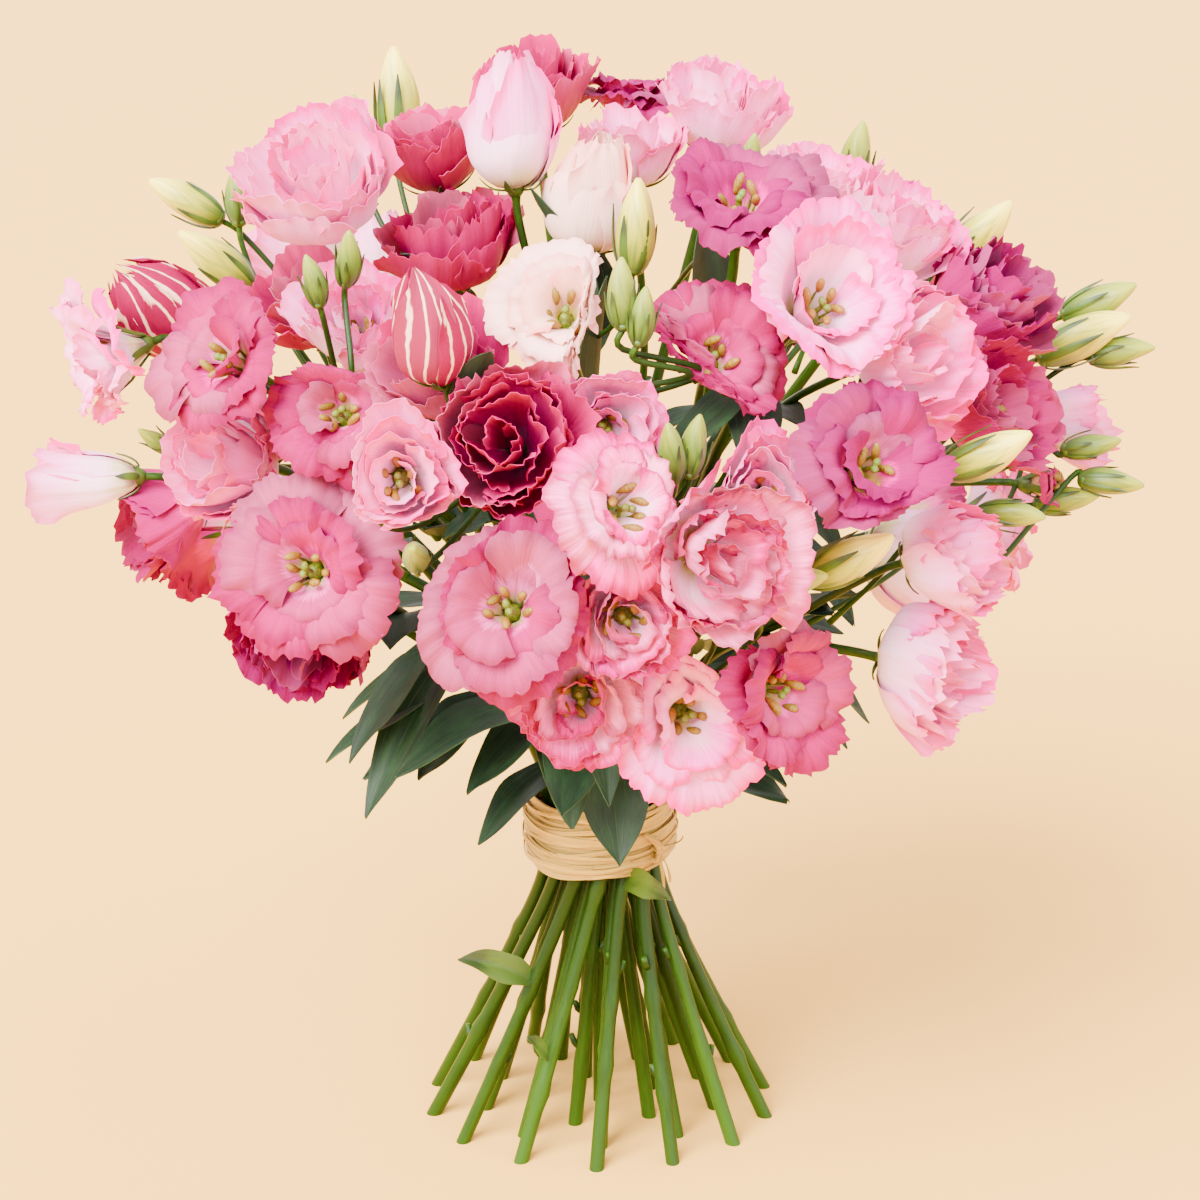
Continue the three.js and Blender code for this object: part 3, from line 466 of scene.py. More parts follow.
def waist_point(stem, rise):
    """The middle line of a stem below and just above the waist, rise over the waist."""
    ring = stem.ring
    out = math.hypot(ring["radius"], ring["lean"] * rise)
    deep = math.hypot(ring["radius"], ring["lean"] * FOOT_DEPTH * rise)
    turn = stem.slot + SPIRAL * math.atan2(ring["lean"] * rise, ring["radius"] or 1)
    return np.array([out * math.cos(turn), deep * math.sin(turn), WAIST_HEIGHT + rise])


def sort_into_rings():
    """Stems with high blooms go to the inner rings; each ring keeps the order round the axis."""
    for stem in stems:
        heart = np.mean([bloom.base() for bloom in stem.blooms], axis=0)
        stem.steep = math.atan2(math.hypot(heart[0], heart[1]), heart[2] - WAIST_HEIGHT)
        stem.round = math.atan2(heart[1], heart[0])
    waiting = sorted(stems, key=lambda stem: stem.steep)
    for ring in RINGS:
        members = sorted(waiting[:ring["stems"]], key=lambda stem: stem.round)
        waiting = waiting[ring["stems"]:]
        step = 2 * math.pi / ring["stems"]
        offsets = [stem.round - i * step for i, stem in enumerate(members)]
        start = math.atan2(sum(map(math.sin, offsets)), sum(map(math.cos, offsets)))
        turned = SPIRAL * math.atan2(ring["lean"] * NECK_LENGTH, ring["radius"] or 1)
        for i, stem in enumerate(members):
            stem.ring, stem.slot = ring, start + i * step - turned


sort_into_rings()
print("outer ring holds stems", [s.number + 1 for s in stems if s.ring is RINGS[3]])

# %% [markdown]
# ## Lines that keep clear
# A stem's middle line is a curve of five points. Where a bloom or another stem is in its way, the
# points are pushed aside a little at a time, as stems slide past each other in the hand.

# %% Curves that stems follow
class Line:
    """The middle line of a stem piece, padded to five points so that all fit one array."""

    def __init__(self, points, radius, owner, stem):
        self.radius, self.owner, self.stem = radius, owner, stem
        self.points = np.array(list(points) + [points[-1]] * (5 - len(points)), float)


def bend(start, heading, end, arrival, reach=0.38):
    """The five points of a curve that leaves along heading and arrives along arrival."""
    length = np.linalg.norm(end - start) * reach
    a, b = start + length * heading, end - length * arrival
    return [(1 - t) ** 3 * start + 3 * t * (1 - t) ** 2 * a + 3 * t * t * (1 - t) * b + t ** 3 * end
            for t in SHARES]


def nearest(paths, place):
    """The nearest point to place on each of many five-point paths."""
    a, step = paths[:, :-1], paths[:, 1:] - paths[:, :-1]
    length2 = np.maximum(np.einsum("lsi,lsi->ls", step, step), 1e-12)
    share = np.clip(np.einsum("lsi,lsi->ls", place - a, step) / length2, 0, 1)
    spots = a + share[..., None] * step
    off = ((spots - place) ** 2).sum(axis=2)
    return spots[np.arange(len(paths)), off.argmin(axis=1)]


print("a line has", Line([AXIS, UP], STEM_LINE, None, 0).points.shape[0], "points")

# %% Lines bend clear
def reaches(ways, group):
    """How far each bloom of a group reaches in the direction of its own row of ways."""
    lengthwise = (ways * group["axes"]).sum(axis=1)
    sideways = np.sqrt(np.maximum(0, 1 - lengthwise ** 2))
    section = group["sections"]
    return (section[:, :, 0] * sideways[:, None] + section[:, :, 1] * lengthwise[:, None]).max(axis=1)


def grouped(members):
    return {"middles": np.array([b.middle for b in members]).reshape(-1, 3),
            "axes": np.array([b.axis for b in members]).reshape(-1, 3),
            "sections": np.array([b.section for b in members]).reshape(-1, 4, 2)}


def pushes(ways, rooms):
    """The sum of half of what is missing to each room, along each way."""
    far = np.linalg.norm(ways, axis=1)
    tight = (far < rooms) & (far >= 0.01)
    return (ways[tight] / far[tight, None] * (0.5 * (rooms - far)[tight])[:, None]).sum(axis=0)


def bend_clear(moving, everything):
    """Bends lines round the blooms and the other lines that stand in their way."""
    shared = np.array([line.points for line in everything])
    for line, points in zip(everything, shared):
        line.points = points
    radii = np.array([line.radius for line in everything])
    owners = np.array([line.stem for line in everything])
    settings = []
    for line in moving:
        others = np.flatnonzero(owners != line.stem)
        group = grouped([bloom for bloom in blooms if bloom is not line.owner])
        settings.append((line, others, radii[others] + line.radius + CLEAR, group))
    for _ in range(BEND_ROUNDS):
        for line, others, line_rooms, group in settings:
            points = line.points
            for quarter in range(1, 12):
                a, share = quarter // 4, (quarter % 4) / 4
                spot = points[a] * (1 - share) + points[a + 1] * share
                ways = spot - group["middles"]
                far = np.linalg.norm(ways, axis=1)
                rooms = STAND_OFF * reaches(ways / far[:, None], group) + line.radius + 1
                push = pushes(ways, rooms) + pushes(spot - nearest(shared[others], spot), line_rooms)
                if a > 0:
                    points[a] += (1 - share) * push
                if a < 2:
                    points[a + 1] += share * push


print("lines keep", CLEAR, "mm from each other, in at most", BEND_ROUNDS, "rounds")

# %% Every stem, branch and stalk
def along(line, share):
    """The point and the direction of a line at a share of its way."""
    place = share * 4
    a = int(place)
    here, there = line.points[a], line.points[a + 1]
    return here + (place - a) * (there - here), unit(there - here)


def fork(line, share, end, arrival):
    """A branch that leaves a line at a share of its way and arrives at an end."""
    start, heading = along(line, share)
    return bend(start, unit(heading + FORK * (unit(end - start) - heading)), end, arrival)


def run_lines():
    """Every stem's line first, then the branches and stalks between them."""
    for stem in stems:
        neck = waist_point(stem, NECK_LENGTH)
        first = stem.blooms[0]
        heading = unit(neck - waist_point(stem, NECK_LENGTH - 5))
        curve = bend(neck, heading, seat(first), first.axis)
        stem.line = Line(curve, STEM_LINE, first, stem.number)
    main = [stem.line for stem in stems]
    bend_clear(main, main)
    for stem in stems:
        stem.branches = [
            Line(fork(stem.line, BRANCH_AT + 0.1 * i, seat(b), b.axis), BRANCH_LINE, b, stem.number)
            for i, b in enumerate(stem.blooms[1:])]
        stem.stalks = []
        for i, bud in enumerate(stem.buds):
            foot = bud["middle"] - bud["axis"] * bud["length"] / 2
            curve = fork(stem.line, BUDS_AT + 0.06 * i, foot, bud["axis"])
            stem.stalks.append(Line(curve, STALK_LINE, None, stem.number))
    side = [line for stem in stems for line in stem.branches + stem.stalks]
    bodies = []
    for stem in stems:
        for bud in stem.buds:
            ends = [bud["middle"] + s * bud["length"] * bud["axis"] for s in (-0.5, 0.5)]
            bodies.append(Line(ends, bud["radius"] + 0.4, None, stem.number))
    everything = main + side + bodies
    bend_clear(side, everything)
    return everything


obstacles = run_lines()
passing = [np.linalg.norm(corners_of("stem_" + s.label) - s.line.points[3], axis=1).min() for s in stems]
print(len(obstacles), "lines; the packed stems pass them at", round(float(max(passing)), 2), "mm")

# %% [markdown]
# ## Making meshes
# Everything on a plant is a thin blade or a tube. A blade here is a sheet of points with a front,
# a back and a rim, closed all round, so that light passes through a real thickness. Each corner
# keeps where it lies on its petal or leaf, because colours and veins follow that and not the room.

# %% Pieces
class Piece:
    """Gathers closed surfaces that become one mesh with several materials."""

    def __init__(self):
        self.points, self.faces, self.flat, self.tones, self.backs = [], [], [], [], []
        self.rims, self.slots, self.materials, self.count = [], [], [], 0

    def add(self, points, faces, flat, material, tones=0.0, backs=0.0, rims=0):
        points = np.asarray(points, float).reshape(-1, 3)
        fill = lambda value, kind: np.broadcast_to(np.asarray(value, kind), len(points))
        if material not in self.materials:
            self.materials.append(material)
        self.points.append(points)
        self.flat.append(np.asarray(flat, float).reshape(-1, 2))
        self.tones.append(fill(tones, float))
        self.backs.append(fill(backs, float))
        self.rims.append(fill(rims, int))
        self.faces += [[corner + self.count for corner in face] for face in faces]
        self.slots += [self.materials.index(material)] * len(faces)
        self.count += len(points)

    def build(self, name, nodes):
        """The finished object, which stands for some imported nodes."""
        mesh = bpy.data.meshes.new(name)
        mesh.from_pydata(((np.concatenate(self.points) + AXIS) * MM).tolist(), [], self.faces)
        corners = np.empty(len(mesh.loops), np.int32)
        mesh.loops.foreach_get("vertex_index", corners)
        layer = mesh.uv_layers.new(name="shape")
        layer.data.foreach_set("uv", np.concatenate(self.flat)[corners].astype(np.float32).ravel())
        for label, values in (("tone", self.tones), ("back", self.backs)):
            attribute = mesh.attributes.new(label, "FLOAT", "POINT")
            attribute.data.foreach_set("value", np.concatenate(values).astype(np.float32))
        edges = np.empty(len(mesh.edges) * 2, np.int32)
        mesh.edges.foreach_get("vertices", edges)
        rims = np.concatenate(self.rims)[edges.reshape(-1, 2)]
        sharp = mesh.attributes.new("sharp_edge", "BOOLEAN", "EDGE")
        sharp.data.foreach_set("value", (rims[:, 0] > 0) & (rims[:, 0] == rims[:, 1]))
        mesh.polygons.foreach_set("use_smooth", np.ones(len(self.faces), bool))
        mesh.polygons.foreach_set("material_index", np.array(self.slots, np.int32))
        for material in self.materials:
            mesh.materials.append(material)
        made = bpy.data.objects.new(name, mesh)
        bpy.context.scene.collection.objects.link(made)
        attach(made, "root")
        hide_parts(*nodes)
        return made


print("a new piece has", Piece().count, "corners")

# %% Blades
RIM_THINNING = 0.55  # how much of its thickness a blade loses at its rim


def blade_faces(rows, columns):
    """The faces of one blade: its front grid, its back grid and the wall round its rim."""
    at = lambda r, c: r * columns + c
    cells = [(r, c) for r in range(rows - 1) for c in range(columns - 1)]
    front = [[at(r, c), at(r + 1, c), at(r + 1, c + 1), at(r, c + 1)] for r, c in cells]
    n = rows * columns
    back = [[corner + n for corner in reversed(face)] for face in front]
    rim = [at(r, 0) for r in range(rows)] + [at(rows - 1, c) for c in range(1, columns)]
    rim += [at(r, columns - 1) for r in range(rows - 2, -1, -1)]
    rim += [at(0, c) for c in range(columns - 2, 0, -1)]
    wall = [[b, a, a + n, b + n] for a, b in zip(rim, rim[1:] + rim[:1])]
    flags = np.zeros(2 * n, int)
    flags[rim], flags[np.array(rim) + n] = 1, 2
    return front + back + wall, flags


def add_blades(piece, sheets, thick, material, tones=0.0):
    """Closes middle surfaces (blades, rows, columns, 3) into blades that thin out at the rim."""
    number, rows, columns = sheets.shape[:3]
    lengthwise, crosswise = np.gradient(sheets, axis=1), np.gradient(sheets, axis=2)
    normal = np.cross(lengthwise, crosswise)
    normal /= np.maximum(np.linalg.norm(normal, axis=3, keepdims=True), 1e-9)
    v = np.linspace(0, 1, rows)[:, None]
    s = np.linspace(-1, 1, columns)[None, :]
    rimward = np.maximum(v ** 3, np.abs(s) ** 3 * np.ones_like(v))
    half = (thick / 2 * (1 - RIM_THINNING * rimward))[None, :, :, None]
    both = np.stack([sheets + half * normal, sheets - half * normal], axis=1)
    faces, flags = blade_faces(rows, columns)
    each = 2 * rows * columns
    flat = np.stack(np.broadcast_arrays(0.5 + 0.5 * s, v), axis=2)
    flat = np.broadcast_to(flat, (number, 2, rows, columns, 2))
    backs = np.broadcast_to(np.array([0.0, 1.0])[:, None], (number, 2, rows * columns))
    tones = np.repeat(np.broadcast_to(tones, number), each)
    every = [[corner + i * each for corner in face] for i in range(number) for face in faces]
    piece.add(both, every, flat, material, tones, backs.ravel(), np.tile(flags, number))


print("a blade of 3 by 3 corners has", len(blade_faces(3, 3)[0]), "faces")

# %% [markdown]
# Stems, stalks, stamens and buds are tubes: rings of corners carried along a smooth path without
# twisting, closed with a fan at each end. A second material can cover the first end, which is
# how a cut stem gets its pith.

# %% Tubes
def smooth_path(points, steps=5):
    """A smooth curve through points."""
    points = np.asarray(points, float)
    padded = np.vstack([2 * points[0] - points[1], points, 2 * points[-1] - points[-2]])
    out = []
    for i in range(len(points) - 1):
        p0, p1, p2, p3 = padded[i:i + 4]
        for t in np.arange(steps) / steps:
            out.append(0.5 * (2 * p1 + (p2 - p0) * t + (2 * p0 - 5 * p1 + 4 * p2 - p3) * t * t
                              + (3 * p1 - p0 - 3 * p2 + p3) * t ** 3))
    return np.array(out + [points[-1]])


def frames_along(path):
    """A side and a top direction at each point of a path, carried along without twisting."""
    headings = np.gradient(path, axis=0)
    headings /= np.linalg.norm(headings, axis=1, keepdims=True)
    side, sides = across_axis(headings[0])[0], []
    for heading in headings:
        side = unit(side - (side @ heading) * heading)
        sides.append(side)
    return headings, np.array(sides), np.cross(headings, sides)


def tube_rings(path, radii, sides, shape=None):
    """Rings of corners round a path. shape scales the radius by (turn, share of the length)."""
    headings, side, top = frames_along(path)
    turns = np.arange(sides) * 2 * math.pi / sides
    radii = np.broadcast_to(np.asarray(radii, float), len(path))[:, None] * np.ones(sides)
    if shape is not None:
        radii = radii * shape(turns[None, :], np.linspace(0, 1, len(path))[:, None])
    spokes = side[:, None] * np.cos(turns)[None, :, None] + top[:, None] * np.sin(turns)[None, :, None]
    return path[:, None] + radii[..., None] * spokes


def add_tube(piece, rings, material, tones=0.0, end_material=None):
    """Closes rings of corners into a tube, with a fan at each end."""
    count, sides = rings.shape[:2]
    points = np.vstack([rings.reshape(-1, 3), rings[0].mean(axis=0), rings[-1].mean(axis=0)])
    after = lambda i: (i + 1) % sides
    walls = [[k * sides + i, k * sides + after(i), (k + 1) * sides + after(i), (k + 1) * sides + i]
             for k in range(count - 1) for i in range(sides)]
    low, high = count * sides, count * sides + 1
    starts = [[low, after(i), i] for i in range(sides)]
    ends = [[high, (count - 1) * sides + i, (count - 1) * sides + after(i)] for i in range(sides)]
    turn = np.abs(np.arange(sides) / sides * 2 - 1)
    flat = np.stack(np.broadcast_arrays(turn[None, :], np.linspace(0, 1, count)[:, None]), axis=2)
    flat = np.vstack([flat.reshape(-1, 2), [0.5, 0], [0.5, 1]])
    flags = np.zeros(len(points), int)
    if end_material:
        flags[:sides] = 1
    piece.add(points, walls + ends + ([] if end_material else starts), flat, material, tones, 0.0, flags)
    if end_material:
        first = piece.count - len(points)
        piece.materials += [] if end_material in piece.materials else [end_material]
        piece.faces += [[corner + first for corner in face] for face in starts]
        piece.slots += [piece.materials.index(end_material)] * len(starts)


print("a path of", len(smooth_path([AXIS, AXIS + UP])), "points joins two")

# %% [markdown]
# ## Petals give way
# Where two blooms press on each other, or a stem passes, petals bend back instead of crossing.
# Each bloom has planes that it may not pass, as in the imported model. Real petals interleave a
# little at their frilled rims, so here they may pass the plane between two blooms slightly.

# %% Limits of each bloom
FINE = 0.88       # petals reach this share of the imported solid, which leaves room for their frills
FRILLS = 3.5      # how far the frills may reach past that
SLACK = 3.0       # rims pass the plane between two blooms by this
KEPT = 0.45       # the least share of its reach that a neighbour leaves to a bloom
SOFT = 0.6        # share of its room over which a petal gives way
FORWARD = 0.42    # how much of what it gives way turns forward
HELD = 16         # length over the calyx within which petals are held more and more


def limits_of(bloom, lines):
    limits = []

    def add(away, limit, slack):
        full = bloom.reach(away) * FINE + FRILLS
        if limit + slack < full:
            limits.append((away, limit + slack, full))

    for other in blooms:
        if other is bloom or np.linalg.norm(other.middle - bloom.middle) > FAR:
            continue
        away = pressing(bloom, other)
        mine, its = bloom.reach(away), other.reach(-away)
        mates = other.stem == bloom.stem
        half = (other.middle - bloom.middle) @ away * mine / (mine + its)
        add(away, max(half, KEPT * mine), SLACK - (1 if mates else 0))
    ends = nearest(np.array([line.points for line in lines]), bloom.middle)
    for line, end in zip(lines, ends):
        if line.owner is bloom:
            continue
        far = np.linalg.norm(end - bloom.middle)
        away = (end - bloom.middle) / far
        add(away, max(far - line.radius - PETAL / 2 - GAP, KEPT * bloom.reach(away)), 0.3)
    return limits


def pressed(bloom, points):
    """Points of a bloom after its petals gave way; at the calyx they are held."""
    free = np.clip((points - bloom.base()) @ bloom.axis / HELD, 0, 1)
    free = free * (2 - free)
    for away, limit, full in bloom.limits:
        soft = SOFT * limit
        past = (points - bloom.middle) @ away - (limit - soft)
        give = np.maximum(0, free * (1 - soft / (soft + full - limit)) * past)[..., None]
        points = points - give * away + FORWARD * give * (bloom.axis - (bloom.axis @ away) * away)
    return points


print("petals reach", FINE, "of their solids and give way over", SOFT, "of their room")

# %% [markdown]
# ## Leaves
# A lisianthus leaf is a pointed oval, grey-green, with a pale midrib and a few veins that run
# along it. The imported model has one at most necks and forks, where there is most room; the same
# search finds those places here.

# %% Where the leaves grow
LEAF_DROOP, LEAF_HOLLOW = 0.22, 0.3    # shares of its length and of its width
LEAF_STAND_OFF, LEAF_ROOM = 0.85, 1.5  # share of a bloom's reach, and room, that a leaf keeps
LEAF_TURNS = 12                        # directions round the stem that are tried
NECK_LEAF = {"length": 68, "width": 25, "rise": 0.24, "lift": (0.1, 0.35, 0.6)}
FORK_LEAF = {"length": 46, "width": 18, "rise": BRANCH_AT, "lift": (0.3, 0.6, 1)}
LEAF_SHARES = (0.06, 0.13, 0.2, 0.28, 0.36, 0.44, 0.53, 0.62, 0.71, 0.8, 0.9, 1)


def leaf_points(plan, share, across):
    """Points of a leaf at shares of its length and, from the midrib, of its width."""
    root, heading, length, width, *roll = plan
    share, across = np.asarray(share, float)[..., None], np.asarray(across, float)[..., None]
    share, across = np.broadcast_arrays(share, across)
    side = unit(np.cross(UP, heading))
    top = unit(np.cross(heading, side))
    for turn in roll:
        side, top = spoke(side, top, turn), math.cos(turn) * top - math.sin(turn) * side
    return (root + heading * length * share + side * width * across
            + top * LEAF_HOLLOW * width * np.abs(across) - UP * LEAF_DROOP * length * share ** 2)


def leaf_spots(plan):
    """Where a leaf is tested: its midrib and both edges."""
    shares = np.array(LEAF_SHARES)
    half = np.where(shares < 0.36, 0.5 * shares / 0.36, 0.5 * (1 - shares) / 0.64)
    return leaf_points(plan, np.repeat(shares, 3), np.stack([-half, 0 * half, half], axis=1).ravel())


print("a leaf is tested at", 3 * len(LEAF_SHARES), "spots")

# %% The roomiest place for a leaf
def room_at(spots, group, paths, radii):
    """How far the tightest spot keeps from the blooms and the lines near it."""
    room = 99.0
    for spot in spots:
        ways = spot - group["middles"]
        far = np.linalg.norm(ways, axis=1)
        free = far - LEAF_STAND_OFF * reaches(ways / far[:, None], group)
        room = min(room, free.min(initial=99.0))
        if len(paths):
            room = min(room, (np.linalg.norm(nearest(paths, spot) - spot, axis=1) - radii).min())
        if room < LEAF_ROOM:
            break
    return room


def best_leaf(stem, number, kind):
    """The plan of the leaf that has most room, or None."""
    size = 1 + 0.16 * draw(number, 10)
    length, width = kind["length"] * size, kind["width"] * size
    root, upward = along(stem.line, kind["rise"])
    group = grouped([b for b in blooms if np.linalg.norm(b.middle - root) < length + b.width])
    foreign = [line for line in obstacles if line.stem != stem.number]
    off = np.linalg.norm(nearest(np.array([line.points for line in foreign]), root) - root, axis=1)
    foreign = [line for line, far in zip(foreign, off) if far < 1.4 * length]
    paths = np.array([line.points for line in foreign]).reshape(-1, 5, 3)
    radii = np.array([line.radius for line in foreign])
    best, best_room = None, LEAF_ROOM
    for turn in range(LEAF_TURNS):
        out = across_axis(upward, 2 * math.pi * turn / LEAF_TURNS)[0]
        for slope in kind["lift"]:
            plan = (root, unit(out + slope * upward), length, width)
            room = room_at(leaf_spots(plan), group, paths, radii)
            if room > best_room:
                best, best_room = plan, room
    if best:
        midrib = leaf_points(best, np.array([0.2, 0.6, 1]), np.zeros(3))
        obstacles.append(Line(midrib, width * 0.45, None, stem.number))
    return best


for stem in stems:
    plans = [best_leaf(stem, stem.number, NECK_LEAF) if stem.ring is RINGS[3] else None,
             best_leaf(stem, stem.number + 40, FORK_LEAF)]
    stem.leaves = [plan for plan in plans if plan]
print(sum(len(s.leaves) for s in stems), "leaves as packed")

# %% [markdown]
# ## Flowers in their places
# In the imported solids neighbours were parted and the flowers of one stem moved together. Thin
# petals need less room than solids, so here each flower goes back to the place where it is seen,
# and only its depth gives way. Its stalk bends along with it.

# %% Flowers drawn back to their places
DRAWN = {"most": 24.0, "depth": 14.0}   # the longest way across the view and along it
TUCKED = {1: (6, 15)}                   # a rose behind the flower over it, moved (across, up)


LOOSE, EASE = 0.8, 0.15                 # how near petals may come, and the step to part them
STEM_FOLLOWS = np.array([0.35, 0.9, 1.0])[:, None]  # how far its last three points go along


def open_out(rounds=40):
    """Draws each flower back to its place in the view, and its stem's end with it."""
    for number, (across, up) in TUCKED.items():
        blooms[number].home = blooms[number].home + across * RIGHT + up * ACROSS_VIEW_UP
    for bloom in blooms:
        bloom.packed = bloom.middle
        stray = bloom.home - bloom.middle
        stray = stray - (stray @ bloom.sight) * bloom.sight
        share = min(1.0, DRAWN["most"] / max(np.linalg.norm(stray), 1e-6))
        if bloom.stem >= len(FRONT_STEMS):  # those behind stay as they are packed
            share = 0.0
        bloom.middle = bloom.start = bloom.middle + share * stray
    for _ in range(rounds):
        for a in blooms:
            for b in blooms[a.number + 1:]:
                gap = b.middle - a.middle
                if gap @ gap > FAR ** 2:
                    continue
                away = pressing(a, b)
                missing = LOOSE * FINE * (a.reach(away) + b.reach(-away)) - gap @ away
                if missing > 0:
                    a.middle = a.middle - EASE * missing * (away @ a.sight) * a.sight
                    b.middle = b.middle + EASE * missing * (away @ b.sight) * b.sight
        for a in blooms:
            deep = (a.middle - a.start) @ a.sight
            a.middle = a.start + float(np.clip(deep, -DRAWN["depth"], DRAWN["depth"])) * a.sight
    for stem in stems:
        for line, bloom in zip([stem.line] + stem.branches, stem.blooms):
            shift = bloom.middle - bloom.packed
            line.points[2:] += STEM_FOLLOWS * shift


open_out()
for bloom in blooms:
    bloom.limits = limits_of(bloom, obstacles)
print("flowers drawn out by", mean([np.linalg.norm(b.middle - b.packed) for b in blooms]), "mm")
print(mean([len(b.limits) for b in blooms]), "limits for a bloom")

# %% [markdown]
# ## Petal colours
# A lisianthus petal is pale cream-green in the throat and takes its colour towards the rim, with
# the strongest tint in a narrow margin. Fine veins fan out along it, its back is paler, and its
# skin is satin with a soft glow where light comes through. One shader holds all of this; the
# seven finishes only differ in their colours.

# %% Painting petals in their own coordinates
def rgb(code):
    """A linear colour from a hex code."""
    parts = [int(code[i:i + 2], 16) / 255 for i in (1, 3, 5)]
    return tuple(x / 12.92 if x <= 0.04045 else ((x + 0.055) / 1.055) ** 2.4 for x in parts) + (1,)


class Paint:
    """A material whose colours follow where a spot lies on its own petal, leaf or strand."""

    def __init__(self, name, roughness, **sockets):
        self.material, self.shader = new_material(name, roughness, **sockets)
        self.tree = self.material.node_tree
        flat = self.node("UVMap", uv_map="shape").outputs["UV"]
        parts = self.node("SeparateXYZ", Vector=flat).outputs
        self.side, self.length, self.tone = parts["X"], parts["Y"], self.attribute("tone")
        apart = self.scaled(self.tone, 37.0)  # so that no two blades have the same clouds
        self.place = self.node("CombineXYZ", X=self.side, Y=self.length, Z=apart).outputs["Vector"]

    def node(self, kind, **settings):
        return node_of(self.tree, kind, **settings)

    def attribute(self, name):
        return self.node("Attribute", attribute_name=name).outputs["Fac"]

    def maths(self, operation, *inputs):
        made = self.node("Math", operation=operation)
        for socket, value in zip(made.inputs, inputs):
            feed(self.tree, socket, value)
        return made.outputs["Value"]

    def scaled(self, value, share, *plus):
        """A value times a share, perhaps plus another value."""
        return self.maths("MULTIPLY_ADD" if plus else "MULTIPLY", value, share, *plus)

    def wavered(self, value, cloud, share):
        """A value that wavers both ways by a share of a cloud."""
        return self.scaled(self.maths("SUBTRACT", cloud, 0.5), share, value)

    def edge(self):
        """How far a spot lies from the midrib: 1 at either edge."""
        return self.maths("ABSOLUTE", self.scaled(self.side, 2.0, -1.0))

    def noise(self, scale, detail=3.0, stretch=None):
        """A cloud of values from 0 to 1, perhaps stretched."""
        vector = self.place
        if stretch:
            vector = self.node("Mapping", Scale=stretch, Vector=vector).outputs["Vector"]
        return self.node("TexNoise", Scale=scale, Detail=detail, Vector=vector).outputs["Fac"]

    def ramp(self, factor, *stops):
        """The colour at a factor between stops of (place, hex code)."""
        made = self.node("ValToRGB", Fac=factor)
        made.color_ramp.interpolation = "EASE"
        while len(made.color_ramp.elements) < len(stops):
            made.color_ramp.elements.new(0.5)
        for element, (place, code) in zip(made.color_ramp.elements, stops):
            element.position, element.color = place, rgb(code)
        return made.outputs["Color"]

    def mixed(self, factor, colour, code):
        """A colour turned by a factor into that of a hex code."""
        made = self.node("Mix", data_type="RGBA", Factor=factor, A=colour, B=rgb(code))
        return made.outputs["Result"]

    def finish(self, colour, relief, strength, depth, **tints):
        """The material with its colour, its relief and what each blade's tone changes."""
        if tints:
            tints = {name: self.scaled(self.tone, *tint) for name, tint in tints.items()}
            colour = self.node("HueSaturation", Color=colour, **tints).outputs["Color"]
        bumps = self.node("Bump", Strength=strength, Distance=depth, Height=relief)
        feed(self.tree, self.shader.inputs["Base Color"], colour)
        feed(self.tree, self.shader.inputs["Normal"], bumps.outputs["Normal"])
        return self.material


print("a mid grey is", round(rgb("#808080")[0], 3), "in linear light")

# %% Petal finishes
# Throat, inner half, outer half and rim of each finish, and how deep the margin is tinted.
FINISHES = {
    "pink": ("#D2C878", "#F844A6", "#AE0260", "#860248", 0.28),
    "hot": ("#C8A860", "#E81C94", "#9A025C", "#780248", 0.26),
    "blush": ("#D0D080", "#FFC8E4", "#FF86CE", "#F23A9A", 0.62),
    "edged": ("#D0D080", "#FFC6E8", "#FF62AC", "#AC0458", 0.66),
    # The deep finish is raspberry with painted shade of the bloom's hollow, so its throat and inner half
    # are darker than its rim.
    "deep": ("#80305A", "#9A0650", "#AC0458", "#C00862", 0.6),
    "cream": ("#D0CC60", "#F9C8B8", "#F9B8AE", "#F9A09C", 0.66),
    "striped": ("#D8C078", "#FBCDB6", "#F9B8A0", "#8C0640", 0.9),
}
# Painted shade: a dark olive at the very foot of each petal, where the throat lies in shade.
PAINTED_THROAT_SHADE = "#565410"
WHITE, BLACK = "#FFFFFF", "#000000"


def petal_material(finish):
    throat, inner, outer, rim, margin = FINISHES[finish]
    paint = Paint("petal_" + finish, 0.56, Subsurface_Weight=0.2, Subsurface_Scale=0.0016,
                  Subsurface_Radius=(1.0, 0.35, 0.4), Specular_IOR_Level=0.06)
    cloud = paint.noise(3.2)
    veins = paint.noise(1.0, 4.0, (46.0, 2.2, 1.0))
    if finish == "striped":  # cream bands run up a raspberry petal
        wave = paint.scaled(paint.side, 7.0, paint.scaled(paint.length, 1.2))
        outward = paint.maths("PINGPONG", paint.wavered(wave, cloud, 1.6), 1.0)
        stops = [(0.0, inner), (0.14, outer), (0.26, rim), (1.0, rim)]
        paler_back = 0.0
    else:
        outward = paint.scaled(paint.maths("POWER", paint.edge(), 3.0), 0.14, paint.length)
        outward = paint.wavered(paint.wavered(outward, cloud, 0.22), veins, 0.2)
        tinted = 0.34 + 0.6 * margin
        # The first stop is painted shade deep in the throat.
        stops = [(0.02, PAINTED_THROAT_SHADE), (0.16, throat), (0.34, inner), (tinted, outer), (1.0, rim)]
        paler_back = 0.2
    colour = paint.ramp(outward, *stops)
    streak = paint.scaled(paint.maths("SUBTRACT", veins, 0.45), 0.9)
    colour = paint.mixed(paint.maths("MAXIMUM", streak, 0.0), colour, rim)
    colour = paint.mixed(paint.scaled(paint.attribute("back"), paler_back), colour, inner)
    crepe = paint.scaled(paint.noise(26.0, 2.0, (1.0, 0.6, 1.0)), 0.35, veins)
    return paint.finish(colour, crepe, 0.35, 0.0006, Saturation=(0.14, 1.0), Value=(-0.05, 1.0))


petals = {finish: petal_material(finish) for finish in FINISHES}
print(len(petals), "petal finishes")

